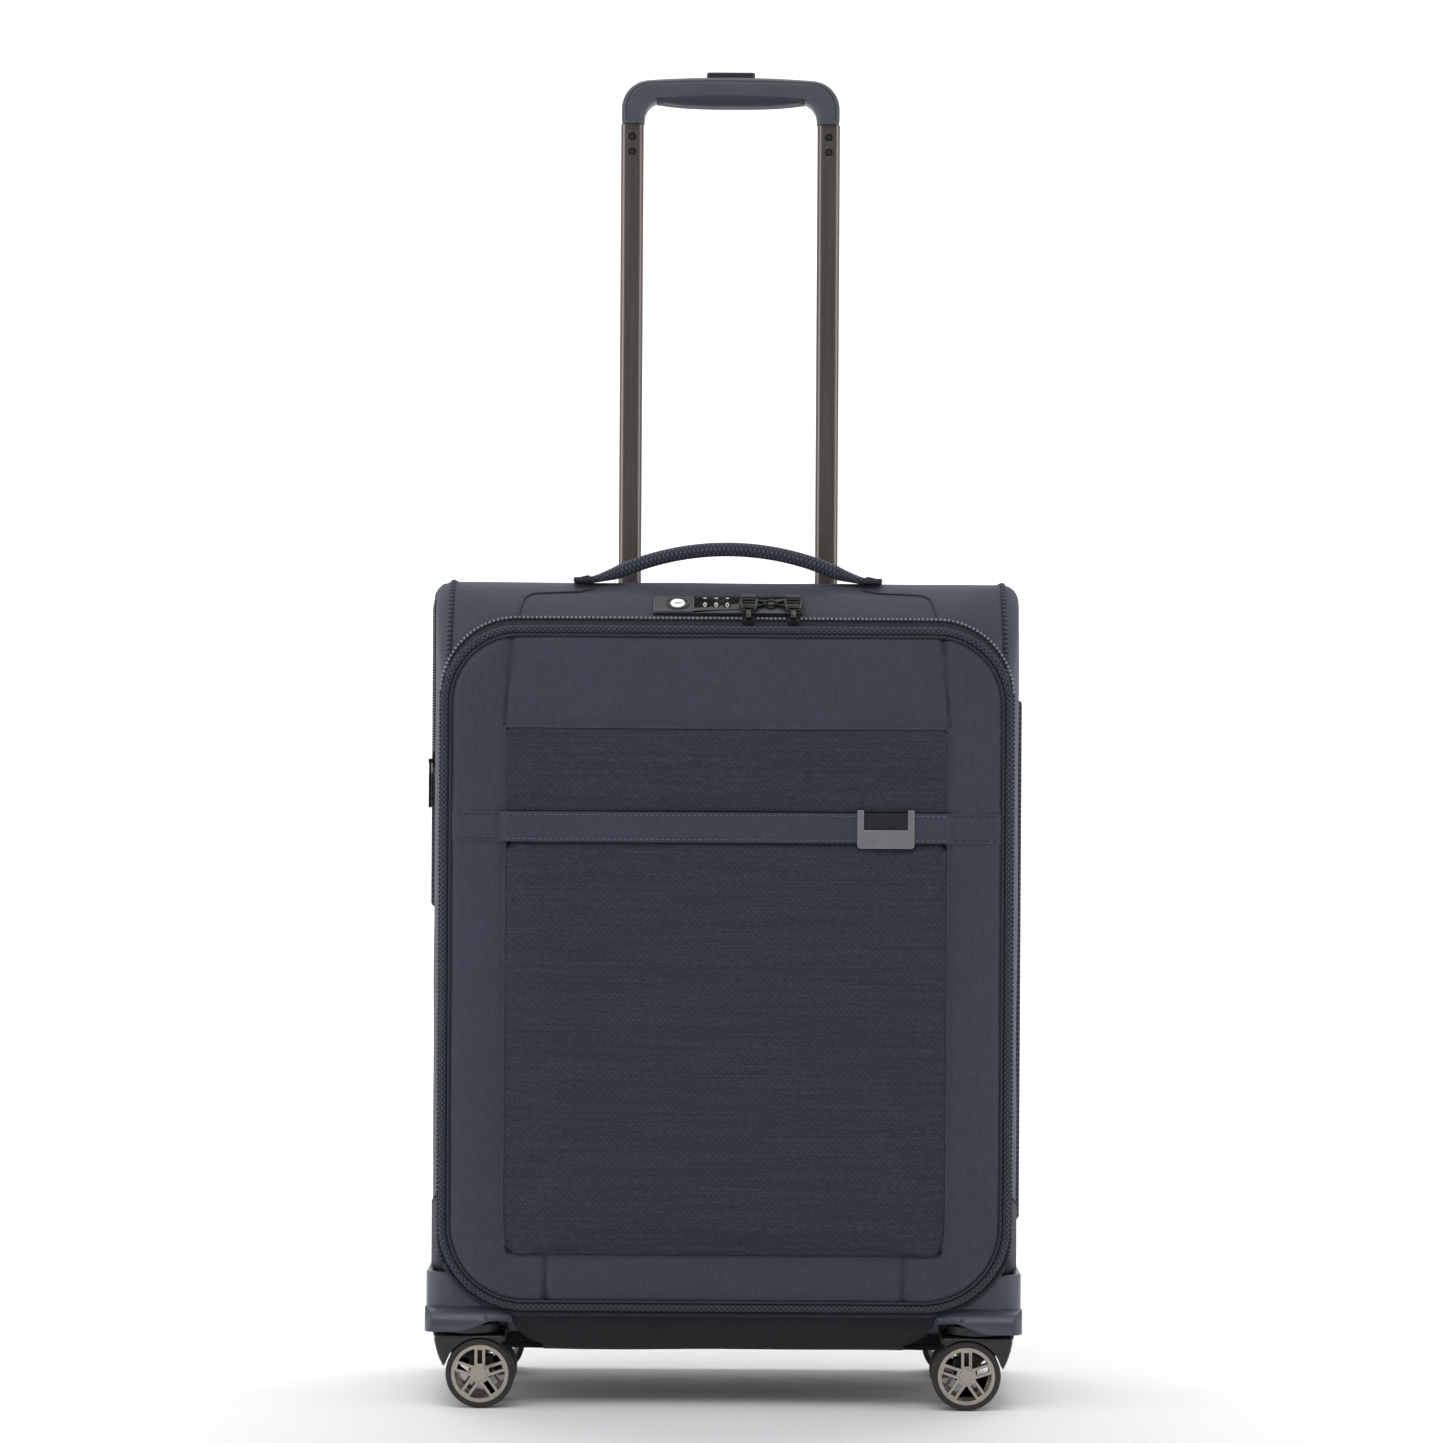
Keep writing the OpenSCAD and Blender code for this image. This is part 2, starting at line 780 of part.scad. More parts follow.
module main_puller(i) {
    hinge = [-18.6, 4.02];
    color(black) on_lock_slope() translate([slider_x[i], 0, 0]) difference() {
        union() {
            translate([0, hinge[0], hinge[1]]) rotate([0, 90, 0]) cylinder(r = 1.35, h = 5, center = true);
            box_at([-2.2, hinge[0] + 0.6, 3.1], [2.2, -12, 4.7]);
            translate([0, 0, 3.1]) linear_extrude(1.6) round_outline(8.6, -15, 5, 2, 2);
        }
        translate([0, hinge[0], hinge[1]]) rotate([0, 90, 0]) cylinder(r = 0.7, h = 8, center = true);
        translate([0, 0, 2]) linear_extrude(4) round_outline(4.2, -10, 1.5, 1, 1);
    }
}

// The side zip's slider hangs its puller from a round bail
module side_slider() {
    x = -case_w / 2 - 1.3;
    color(nickel) {
        box_at([x - 2, side_zip_y - 3.4, side_slider_z - 5], [x - 0.2, side_zip_y + 3.4, side_slider_z + 5]);
        for (s = [-1, 1]) box_at(
            [x - 4.7, side_zip_y + s * 2.6 - 0.6, side_slider_z - 2.6],
            [x - 1.9, side_zip_y + s * 2.6 + 0.6, side_slider_z + 0.4]
        );
        translate([x - 3.6, side_zip_y, side_slider_z - 1.1]) rotate([90, 0, 0])
            cylinder(r = 0.6, h = 5, center = true);
    }
}

module side_puller() {
    x = -case_w / 2 - 4.9;
    top = side_slider_z - 1.1;
    color(nickel) translate([x, side_zip_y, 0]) difference() {
        union() {
            translate([0, 0, top]) rotate([90, 0, 0]) cylinder(r = 1.3, h = 3.4, center = true);
            box_at([-0.9, -1.5, top - 9], [0.9, 1.5, top - 0.4]);
            translate([-0.9, 0, 0]) rotate([90, 0, 90]) linear_extrude(1.8)
                round_outline(7.4, top - 32, top - 8, 2, 2);
        }
        translate([0, 0, top]) rotate([90, 0, 0]) cylinder(r = 0.7, h = 8, center = true);
    }
}

// ---------- carry handle ----------

module carry_handle() {
    centre = carry_top - carry_r - carry_t / 2;
    end_angle = asin(carry_half / carry_r);
    edge = carry_t / 2;
    color(navy) difference() {
        translate([0, carry_y, centre]) rotate([90, 0, 0]) rotate(90 - end_angle)
            rotate_extrude(angle = 2 * end_angle) translate([carry_r, 0]) {
                for (s = [-1, 1]) translate([0, s * (carry_w / 2 - edge)]) circle(edge);
                square([carry_t, carry_w - carry_t], center = true);
            }
        box_at([-150, carry_y - 20, 500], [150, carry_y + 20, carry_base]);
    }
}

// A metal loop at each end, which the handle's webbing runs through
module handle_anchors() {
    color(nickel) both_sides() difference() {
        box_at([97, carry_y - 14, case_top + 0.1], [106, carry_y + 14, case_top + 4.6]);
        box_at([90, carry_y - 12, case_top - 1], [110, carry_y + 12, case_top + 2.8]);
    }
}

// ---------- lid ----------

module lid_outline(inset) {
    round_outline(
        lid_w - 2 * inset, lid_bottom + inset, lid_top - inset, lid_r_bottom - inset, lid_r_top - inset
    );
}

module lid_panel() {
    color(navy) upright(lid_face_y, lid_back_y) lid_outline(2 * piping_r);
}

// Straight and curved lengths of cord around the lid's edge
module lid_piping() {
    w = lid_w / 2;
    color(black) translate([0, lid_piping_y, 0]) {
        for (s = [-1, 1]) {
            translate([s * (w - piping_r), 0, lid_bottom + lid_r_bottom])
                cylinder(r = piping_r, h = lid_top - lid_bottom - lid_r_bottom - lid_r_top);
            translate([s * (w - lid_r_top), 0, lid_top - lid_r_top])
                corner_cord(lid_r_top, s > 0 ? 0 : 90);
            translate([s * (w - lid_r_bottom), 0, lid_bottom + lid_r_bottom])
                corner_cord(lid_r_bottom, s > 0 ? 270 : 180);
        }
        cross_cord(w - lid_r_top, lid_top - piping_r);
        cross_cord(w - lid_r_bottom, lid_bottom + piping_r);
    }
}

module corner_cord(r, start) {
    rotate([90, 0, 0]) rotate(start) rotate_extrude(angle = 90) translate([r - piping_r, 0]) circle(piping_r);
}

module cross_cord(half, z) {
    translate([-half, 0, z]) rotate([0, 90, 0]) cylinder(r = piping_r, h = 2 * half);
}

module lid_zip_tape() {
    color(black) upright(lid_back_y, lid_back_y + tape_t) difference() {
        lid_outline(2);
        lid_outline(14);
    }
}

// A lower and an upper pocket panel in ribbed cloth
module pocket_panels() {
    gap = 0.4;
    color([0.12, 0.13, 0.17]) upright(lid_face_y - pocket_t, lid_face_y) {
        round_outline(pocket_w, pocket_bottom, strip_z - gap, 15, 1);
        round_outline(pocket_w, strip_z + strip_h + gap, strip_z + strip_h + upper_pocket_h, 1, 1);
    }
}

module centre_strip() {
    half = lid_w / 2 - 2 * piping_r - 0.5;
    color(navy) box_at([-half, lid_face_y - 1.6, strip_z], [half, lid_face_y, strip_z + strip_h]);
}

badge_x = 106;
badge_low = strip_z - 3.5;
badge_high = strip_z + strip_h + 2.2;

module badge_window(grow) {
    w = badge_w - 9 + 2 * grow;
    translate([badge_x - w / 2, strip_z + 9 - grow]) square([w, strip_h + 2.2 - 9 + 2 * grow]);
}

module badge_plate() {
    front = lid_face_y - pocket_t - 1.6;
    color(nickel) upright(front, lid_face_y - pocket_t - 0.1) difference() {
        translate([badge_x, 0]) round_outline(badge_w, badge_low, badge_high, 2.5, 0.6);
        badge_window(0.1);
    }
}

// A piece of ribbed webbing behind the badge's window
module badge_insert() {
    color(black) upright(lid_face_y - pocket_t - 0.9, lid_face_y - 1.7) intersection() {
        badge_window(0);
        translate([badge_x - 20, strip_z + 9]) square([40, strip_h - 9]);
    }
}

module lid_mesh_pocket() {
    color(dark_navy) upright(lid_back_y, lid_back_y + 1.2) round_outline(320, 100, 310, 20, 4);
}

// ---------- nodes ----------

back_panel();
side_panel(-1);  // side_panel_left
side_panel(1);  // side_panel_right
top_panel();
bottom_panel();
body_piping();
body_zips();
wheel_housings(-1);  // wheel_housings_front
wheel_housings(1);  // wheel_housings_rear
swivel_pins();
handle_bezel();
outer_tubes();
tube_foot();
lining();
tie_straps();
lock_housing();
handle_anchors();
lid_panel();
pocket_panels();
centre_strip();
badge_plate();
badge_insert();
lid_piping();
lid_zip_tape();
lid_mesh_pocket();
inner_tubes();
handle_grip();
grip_pad();
grip_screws();
release_button();
latch_rods();
latch_pins();
lock_dial(0);  // lock_dial_1
lock_dial(1);  // lock_dial_2
lock_dial(2);  // lock_dial_3
key_cylinder();
lock_button();
main_slider(0);  // main_slider_left
main_puller(0);  // main_puller_left
main_slider(1);  // main_slider_right
main_puller(1);  // main_puller_right
side_slider();
side_puller();
carry_handle();
fork(-1, -1);  // fork_front_left
fork(1, -1);  // fork_front_right
fork(-1, 1);  // fork_rear_left
fork(1, 1);  // fork_rear_right
axle(-1, -1);  // axle_front_left
axle(1, -1);  // axle_front_right
axle(-1, 1);  // axle_rear_left
axle(1, 1);  // axle_rear_right
rims(-1, -1);  // rims_front_left
rims(1, -1);  // rims_front_right
rims(-1, 1);  // rims_rear_left
rims(1, 1);  // rims_rear_right
tyres(-1, -1);  // tyres_front_left
tyres(1, -1);  // tyres_front_right
tyres(-1, 1);  // tyres_rear_left
tyres(1, 1);  // tyres_rear_right
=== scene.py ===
"""Looks of a soft-sided cabin suitcase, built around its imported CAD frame.

Shapes are worked out in millimetres and written to meshes in metres. X runs across, Y from the lid
to the back board, Z up.
"""
import json
import math

import bmesh
import bpy
from mathutils import Matrix, Vector, noise


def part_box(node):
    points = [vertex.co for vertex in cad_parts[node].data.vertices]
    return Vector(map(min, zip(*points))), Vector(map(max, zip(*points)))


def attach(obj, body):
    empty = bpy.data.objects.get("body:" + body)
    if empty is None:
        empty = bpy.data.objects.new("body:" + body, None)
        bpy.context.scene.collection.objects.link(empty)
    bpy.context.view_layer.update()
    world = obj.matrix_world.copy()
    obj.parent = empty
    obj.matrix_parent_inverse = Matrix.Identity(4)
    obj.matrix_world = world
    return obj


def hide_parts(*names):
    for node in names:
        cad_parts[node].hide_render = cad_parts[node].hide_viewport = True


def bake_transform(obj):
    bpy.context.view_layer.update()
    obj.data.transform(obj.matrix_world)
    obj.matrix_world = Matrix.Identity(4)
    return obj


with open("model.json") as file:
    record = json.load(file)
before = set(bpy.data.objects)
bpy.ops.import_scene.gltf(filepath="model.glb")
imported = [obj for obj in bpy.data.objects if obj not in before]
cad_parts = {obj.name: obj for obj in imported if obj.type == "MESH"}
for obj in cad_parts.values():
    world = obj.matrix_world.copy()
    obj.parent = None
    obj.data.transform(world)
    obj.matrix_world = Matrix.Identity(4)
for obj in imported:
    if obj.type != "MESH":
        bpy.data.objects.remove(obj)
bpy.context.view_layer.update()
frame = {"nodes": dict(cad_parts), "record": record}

MM = 0.001


# ---------- places taken from the frame ----------


def box(*nodes):
    """Lowest and highest corner of some CAD nodes, in millimetres."""
    corners = [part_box(node) for node in nodes]
    low = Vector(map(min, *(c[0] for c in corners), corners[0][0])) / MM
    high = Vector(map(max, *(c[1] for c in corners), corners[0][1])) / MM
    return low, high


JOINTS = {j["name"]: j for j in frame["record"]["behaviour"]["joints"]}

CASE_HALF = box("side_panel_left", "side_panel_right")[1].x
CASE_TOP = box("top_panel")[1].z
CASE_BOTTOM = box("bottom_panel")[0].z
RIM_Y = box("top_panel")[0].y
BACK_Y = box("back_panel")[1].y
back_low, back_high = box("back_panel")
lid_low, lid_high = box("lid_piping")
LID_HALF = lid_high.x
LID_TOP = lid_high.z
LID_BOTTOM = lid_low.z
face_low, face_high = box("lid_panel")
FACE_Y = face_low.y
LID_BACK_Y = face_high.y
PIPING_R = (lid_high.y - lid_low.y) / 2
PIPING_Y = (lid_high.y + lid_low.y) / 2
pocket_low, pocket_high = box("pocket_panels")
strip_low, strip_high = box("centre_strip")
HOUSING_TOP = box("wheel_housings_front")[1].z
LINING_BACK = box("lining")[1].y
grip_low, grip_high = box("handle_grip")
TUBE_TOP = box("inner_tubes")[1].z
carry_low, carry_high = box("carry_handle")

# Design sizes that a box doesn't give
SHOULDER_D = 53  # depth over which the case narrows to its rim
LID_R_TOP = 52
LID_R_BOTTOM = 58
CASE_R = 12
REAR_R = 16  # rounding of the edge between the walls and the back board
REAR_END = 75  # degrees of the rear edge's curve before the back board takes over
SEAM_X = CASE_HALF - 12
HOUSING_X = 122  # inner end of a wheel housing
HOUSING_Y = 30  # its end towards the middle of the depth
SIDE_X = 150  # below the lid's upper corners, cloth beyond this belongs to a side panel
MID_Z = 300  # parts the top panel from the bottom panel
WELL_RIM = 3  # overlap of the bezel round the handle's well
WALL = 4
RIM = (LID_HALF - 2.5, LID_BOTTOM + 1, LID_TOP - 1.5)  # half width, bottom and top of the opening


# ---------- materials ----------


def linear(r, g, b):
    """A colour given as 8-bit screen values."""
    out = []
    for value in (r, g, b):
        v = value / 255
        out.append(v / 12.92 if v <= 0.04045 else ((v + 0.055) / 1.055) ** 2.4)
    return (*out, 1)


class Recipe:
    """A procedural material, with textures in the piece's own space, in metres, or along its uv."""

    def __init__(self, name, colour, roughness, **sockets):
        self.name = name
        self.material = bpy.data.materials.new("look_" + name)
        self.material.use_nodes = True
        self.tree = self.material.node_tree
        self.shader = self.tree.nodes["Principled BSDF"]
        self.shader.inputs["Base Color"].default_value = linear(*colour)
        self.shader.inputs["Roughness"].default_value = roughness
        for key, value in sockets.items():
            self.shader.inputs[key.replace("_", " ")].default_value = value
        self.colour = linear(*colour)
        self.roughness = roughness
        self.colour_out = None
        self.normal_out = None

    def node(self, kind, **values):
        """A shader node whose sockets or settings have the given values."""
        made = self.tree.nodes.new(kind)
        for key, value in values.items():
            label = key.replace("_", " ").title()
            if label in made.inputs:
                made.inputs[label].default_value = value
            else:
                setattr(made, key, value)
        return made

    def place(self, stretch=(1, 1, 1), turn=0, uv=False):
        """Coordinates for a texture, stretched and turned."""
        if uv:
            source = self.node("ShaderNodeUVMap", uv_map="pattern").outputs["UV"]
        else:
            source = self.node("ShaderNodeTexCoord").outputs["Object"]
        mapping = self.node("ShaderNodeMapping")
        mapping.inputs["Scale"].default_value = stretch
        mapping.inputs["Rotation"].default_value = (0, turn if not uv else 0, turn if uv else 0)
        self.tree.links.new(source, mapping.inputs["Vector"])
        return mapping.outputs["Vector"]

    def noise(self, size, stretch=(1, 1, 1), detail=3, uv=False):
        """Noise whose features are about size millimetres wide."""
        made = self.node("ShaderNodeTexNoise", scale=1 / (size * MM), detail=detail)
        self.tree.links.new(self.place(stretch, uv=uv), made.inputs["Vector"])
        return made.outputs["Fac"]

    def wave(self, period, axis="X", turn=0, uv=False, bend=0.0):
        """Bands that repeat every period millimetres."""
        made = self.node("ShaderNodeTexWave", bands_direction=axis, scale=math.pi / (10 * period * MM))
        made.inputs["Distortion"].default_value = bend
        self.tree.links.new(self.place(turn=turn, uv=uv), made.inputs["Vector"])
        return made.outputs["Fac"]

    def mix(self, a, b, how="MULTIPLY"):
        """Joins two textures."""
        made = self.node("ShaderNodeMath", operation=how)
        self.tree.links.new(a, made.inputs[0])
        self.tree.links.new(b, made.inputs[1])
        return made.outputs[0]

    def spread(self, value, low, high, start=0.0, end=1.0):
        """Maps a texture's range start to end onto low to high."""
        made = self.node("ShaderNodeMapRange")
        for label, number in (("From Min", start), ("From Max", end), ("To Min", low), ("To Max", high)):
            made.inputs[label].default_value = number
        self.tree.links.new(value, made.inputs["Value"])
        return made.outputs["Result"]

    def tint(self, value, amount, start=0.0, end=1.0):
        """Darkens and lightens the colour with a texture."""
        made = self.node("ShaderNodeMix", data_type="RGBA", blend_type="MULTIPLY")
        made.inputs["Factor"].default_value = 1
        if self.colour_out:
            self.tree.links.new(self.colour_out, made.inputs[6])
        else:
            made.inputs[6].default_value = self.colour
        self.tree.links.new(self.spread(value, 1 - amount, 1 + amount, start, end), made.inputs[7])
        self.colour_out = made.outputs[2]
        self.tree.links.new(self.colour_out, self.shader.inputs["Base Color"])
        return self

    def roughen(self, value, amount):
        """Varies the roughness with a texture."""
        spread = self.spread(value, max(self.roughness - amount, 0.02), min(self.roughness + amount, 1))
        self.tree.links.new(spread, self.shader.inputs["Roughness"])
        return self

    def bump(self, value, height, strength=1.0):
        """Raises the surface by a texture, height in millimetres."""
        made = self.node("ShaderNodeBump", strength=strength, distance=height * MM)
        self.tree.links.new(value, made.inputs["Height"])
        if self.normal_out:
            self.tree.links.new(self.normal_out, made.inputs["Normal"])
        self.normal_out = made.outputs["Normal"]
        self.tree.links.new(self.normal_out, self.shader.inputs["Normal"])
        return self


def smooth_cloth(name, colour, roughness=0.86):
    """Close plain weave, with faint upright streaks."""
    r = Recipe(name, colour, roughness, Sheen_Weight=0.12, Sheen_Roughness=0.5)
    r.tint(r.noise(1.7, (1, 1, 0.2), 3), 0.09, 0.3, 0.7)
    r.tint(r.noise(1.5, (0.4, 1, 1), 2), 0.09, 0.3, 0.7)
    r.tint(r.noise(34, (1, 1, 0.5), 2), 0.05, 0.3, 0.7)
    weave = r.mix(r.wave(0.62, "X"), r.wave(0.62, "Z"))
    r.tint(weave, 0.05)
    r.bump(weave, 0.07, 0.5).bump(r.noise(0.9, detail=2), 0.05, 0.5)
    return r.roughen(r.noise(5), 0.06)


def ribbed_cloth(name, colour):
    """Level ribs of uneven weight over a fine twill."""
    r = Recipe(name, colour, 0.84, Sheen_Weight=0.08, Sheen_Roughness=0.5)
    ribs = r.wave(2.15, "Z")
    streaks = r.noise(2.2, (0.03, 0.03, 1), 3)
    twill = r.wave(2.7, "X", turn=math.radians(42))
    r.tint(ribs, 0.1).tint(streaks, 0.2, 0.35, 0.65).tint(twill, 0.2)
    r.tint(r.noise(1.9, (0.6, 1, 1), 2), 0.22, 0.35, 0.65)
    r.bump(ribs, 0.22, 0.6).bump(streaks, 0.2, 0.5).bump(twill, 0.08, 0.5)
    return r.roughen(streaks, 0.08)


def woven_cord(name, colour, size=0.9):
    """Braid along a cord, crossing both ways round it."""
    r = Recipe(name, colour, 0.9)
    braid = r.mix(
        r.wave(size, "X", turn=math.radians(45), uv=True),
        r.wave(size, "X", turn=math.radians(-45), uv=True),
    )
    r.tint(braid, 0.6).bump(braid, 0.3, 0.8)
    return r.tint(r.noise(2.5), 0.12, 0.3, 0.7).roughen(r.noise(1.5), 0.08)


def knit(name, colour, size=1.2):
    """Open woven tape in herringbone."""
    r = Recipe(name, colour, 0.88, Sheen_Weight=0.08)
    weave = r.mix(
        r.wave(size, "Z", turn=math.radians(35)), r.wave(size, "X", turn=math.radians(-35)), "MAXIMUM"
    )
    r.tint(weave, 0.3).bump(weave, 0.2, 0.7)
    return r.tint(r.noise(4), 0.12, 0.3, 0.7).roughen(r.noise(2), 0.06)


def moulded(name, colour, roughness, grain=0.5, **sockets):
    """Moulded plastic or rubber with a fine spark-eroded grain and faint handling marks."""
    r = Recipe(name, colour, roughness, **sockets)
    r.tint(r.noise(22, detail=4), 0.07, 0.3, 0.7)
    r.bump(r.noise(grain, detail=2), 0.03, 0.5)
    return r.roughen(r.noise(14, detail=4), 0.07)


def metal(name, colour, roughness, stretch=(1, 1, 1), size=2.0):
    """Metal with a brushed or cast finish."""
    r = Recipe(name, colour, roughness, Metallic=1.0)
    brush = r.noise(size, stretch, 3)
    r.tint(brush, 0.08, 0.3, 0.7).roughen(brush, 0.09)
    return r.bump(brush, 0.01, 0.4)


RECIPES = [
    smooth_cloth("panel_fabric", (58, 61, 75)),
    # painted shade: the base cloth is made near black to stand in for the shade on the bottom, which faces
    # down
    smooth_cloth("base_fabric", (29, 29, 34), 0.92),
    ribbed_cloth("ribbed_fabric", (41, 44, 57)),
    woven_cord("trim", (60, 64, 75), 2.5),
    knit("zip", (40, 42, 51), 1.9),
    smooth_cloth("lining_fabric", (98, 104, 124), 0.7),
    moulded("housing_plastic", (66, 72, 82), 0.34),
    moulded("black_plastic", (34, 35, 38), 0.42),
    moulded("grip_plastic", (72, 78, 86), 0.45),
    moulded("grip_foam", (42, 48, 57), 0.68, 0.8),
    metal("tube_metal", (120, 112, 107), 0.3, (1, 1, 0.02)),
    moulded("lock_body", (50, 51, 54), 0.5),
    moulded("dial_plastic", (30, 30, 32), 0.3),
    metal("key_metal", (222, 220, 214), 0.3),
    metal("dark_metal", (52, 50, 49), 0.28),
    metal("pale_metal", (150, 149, 151), 0.38, (0.05, 1, 1), 0.6),
    metal("steel", (150, 145, 140), 0.3),
    metal("rim_nickel", (178, 170, 158), 0.36),
    moulded("tyre_rubber", (44, 41, 39), 0.72, 0.7),
    smooth_cloth("back_fabric", (42, 44, 54), 0.9),
    knit("thread", (92, 98, 116), 0.5),
    knit("dark_thread", (34, 36, 44), 0.5),
    # pale coil colour; on the main zip it paints the lit copy of the teeth over the top
    knit("zip_teeth", (150, 152, 158), 0.8),
    knit("corner_weave", (30, 31, 38), 2.8),
    smooth_cloth("mesh_fabric", (48, 50, 58), 0.8),
    moulded("number_paint", (236, 236, 232), 0.6),
    moulded("mark_paint", (104, 106, 108), 0.5),
    woven_cord("handle_weave", (68, 71, 84), 2.1),
]
MATERIALS = {r.name: r.material for r in RECIPES}


# ---------- shape tools ----------


def rounded_rect(w, h, r, n=4):
    """Points round a rounded rectangle about the origin, anticlockwise."""
    r = max(min(r, w / 2 - 0.01, h / 2 - 0.01), 0.01)
    points = []
    for sx, sy, start in ((1, 1, 0), (-1, 1, 90), (-1, -1, 180), (1, -1, 270)):
        for i in range(n + 1):
            a = math.radians(start + 90 * i / n)
            points.append((sx * (w / 2 - r) + r * math.cos(a), sy * (h / 2 - r) + r * math.sin(a)))
    return points


def ellipse(a, b, n):
    """Points round an ellipse about the origin, anticlockwise."""
    return [(a * math.cos(math.tau * k / n), b * math.sin(math.tau * k / n)) for k in range(n)]


def outline(half, low, high, r_low, r_high, corner=10, across=48, up=60):
    """Points (x, z) round an upright rounded rectangle, from its lower right corner, anticlockwise."""
    points = []

    def arc(cx, cz, r, start):
        for i in range(corner + 1):
            a = math.radians(start + 90 * i / corner)
            points.append((cx + r * math.cos(a), cz + r * math.sin(a)))

    def run(end, count):
        x, z = points[-1]
        for i in range(1, count):
            points.append((x + (end[0] - x) * i / count, z + (end[1] - z) * i / count))

    arc(half - r_low, low + r_low, r_low, -90)
    run((half, high - r_high), up)
    arc(half - r_high, high - r_high, r_high, 0)
    run((-half + r_high, high), across)
    arc(-half + r_high, high - r_high, r_high, 90)
    run((-half, low + r_low), up)
    arc(-half + r_low, low + r_low, r_low, 180)
    run((half - r_low, low), across)
    return points


def loft(rings, ring_closed=True, path_closed=False, caps=True):
    """Skins a row of rings that have the same number of points. The uv is the distance along and round."""
    n = len(rings[0])
    points = [Vector(p) for ring in rings for p in ring]
    along, around = [0.0], [0.0]
    for i in range(len(rings)):
        along.append(along[-1] + (points[((i + 1) % len(rings)) * n] - points[i * n]).length * MM)
    for j in range(n):
        around.append(around[-1] + (points[(j + 1) % n] - points[j]).length * MM)
    faces, uvs = [], []
    for i in range(len(rings) if path_closed else len(rings) - 1):
        k = (i + 1) % len(rings)
        for j in range(n if ring_closed else n - 1):
            m = (j + 1) % n
            faces.append((i * n + j, k * n + j, k * n + m, i * n + m))
            uvs += [(along[i], around[j]), (along[i + 1], around[j])]
            uvs += [(along[i + 1], around[j + 1]), (along[i], around[j + 1])]
    if caps and ring_closed and not path_closed:
        last = (len(rings) - 1) * n
        faces += [tuple(range(n)), tuple(last + j for j in range(n))[::-1]]
        uvs += [(0, 0)] * (2 * n)
    return points, faces, uvs


def frames_along(path, closed, first=(0, 1, 0)):
    """A tangent and two normals at each point of a path."""
    path = [Vector(p) for p in path]
    normal = Vector(first)
    out = []
    for i, p in enumerate(path):
        before = path[i - 1] if closed or i else p
        after = path[(i + 1) % len(path)] if closed or i < len(path) - 1 else p
        tangent = (after - before).normalized()
        normal = normal - tangent * normal.dot(tangent)
        if normal.length < 0.01:
            normal = tangent.orthogonal()
        normal.normalize()
        out.append((p, tangent, normal.copy(), tangent.cross(normal)))
    return out


def tube(path, r, sides=10, closed=False, first=(0, 1, 0)):
    """A cord of round section."""
    turns = [math.tau * k / sides for k in range(sides)]
    rings = [
        [p + normal * (r * math.cos(a)) + across * (r * math.sin(a)) for a in turns]
        for p, _, normal, across in frames_along(path, closed, first)
    ]
    return loft(rings, path_closed=closed)


def round_ended(path, r, sides=14, first=(0, 1, 0)):
    """A cord whose two ends are rounded off."""
    path = resample(path, r / 4)
    turns = [math.tau * k / sides for k in range(sides)]
    rings = []
    for i, (p, _, normal, across) in enumerate(frames_along(path, False, first)):
        past = 1 - min(i, len(path) - 1 - i) / 4
        size = r * math.sqrt(max(1 - past * past, 0.02)) if past > 0 else r
        rings.append([p + normal * (size * math.cos(a)) + across * (size * math.sin(a)) for a in turns])
    return loft(rings)


def block(w, d, h, r, corner=None, n=3):
    """A box about the origin with every edge rounded; corner is the radius seen from above."""
    corner = corner or r
    steps = [math.radians(90 * i / n) for i in range(n + 1)]
    rings = []
    for sign in (-1, 1):
        for a in steps[::-sign]:
            inset = r * (1 - math.sin(a))
            z = sign * (h / 2 - r * (1 - math.cos(a)))
            rings.append([(x, y, z) for x, y in rounded_rect(w - 2 * inset, d - 2 * inset, corner - inset)])
    return loft(rings)


def lathe(profile, sides=64):
    """Turns a closed profile of (radius, offset) about the Y axis."""
    rings = []
    for k in range(sides):
        a = math.tau * k / sides
        rings.append([(r * math.cos(a), y, r * math.sin(a)) for r, y in profile])
    return loft(rings, path_closed=True)


def resample(path, step):
    """Points at equal steps along a path."""
    path = [Vector(p) for p in path]
    lengths = [0.0]
    for a, b in zip(path, path[1:]):
        lengths.append(lengths[-1] + (b - a).length)
    count = max(int(lengths[-1] / step), 1)
    points, i = [], 0
    for k in range(count + 1):
        want = lengths[-1] * k / count
        while i < len(path) - 2 and lengths[i + 1] < want:
            i += 1
        span = lengths[i + 1] - lengths[i]
        points.append(path[i].lerp(path[i + 1], (want - lengths[i]) / span if span else 0))
    return points


def at(x, y, z):
    return Matrix.Translation((x, y, z))


def turned(angle, axis):
    return Matrix.Rotation(math.radians(angle), 4, axis)


def basis(p, x, y, z):
    """A placement whose axes point along x, y and z at p."""
    return Matrix.Translation(p) @ Matrix((x, y, z)).transposed().to_4x4()


class Form:
    """The faces of one piece, in millimetres, gathered from parts."""

    def __init__(self):
        self.points, self.faces, self.uvs = [], [], []

    def add(self, part, place=None):
        """Takes in a part made by loft, moved to place."""
        points, faces, uvs = part
        first = len(self.points)
        self.points += [place @ Vector(p) if place else Vector(p) for p in points]
        self.faces += [tuple(first + i for i in face) for face in faces]
        self.uvs += uvs
        return self

    def both_sides(self):
        """Adds the mirror image across X = 0."""
        count = len(self.points)
        self.points += [Vector((-p.x, p.y, p.z)) for p in self.points]
        at_loop = 0
        for face in list(self.faces):
            self.faces.append(tuple(count + i for i in reversed(face)))
            self.uvs += self.uvs[at_loop:at_loop + len(face)][::-1]
            at_loop += len(face)
        return self

    def piece(self, name, material, body, crease=38, outward=True):
        """Ends the form as a named object that rides on a body."""
        mesh = bpy.data.meshes.new(name)
        mesh.from_pydata([p * MM for p in self.points], [], self.faces)
        layer = mesh.uv_layers.new(name="pattern")
        layer.data.foreach_set("uv", [c for uv in self.uvs for c in uv])
        return settle(name, mesh, material, body, crease, outward)


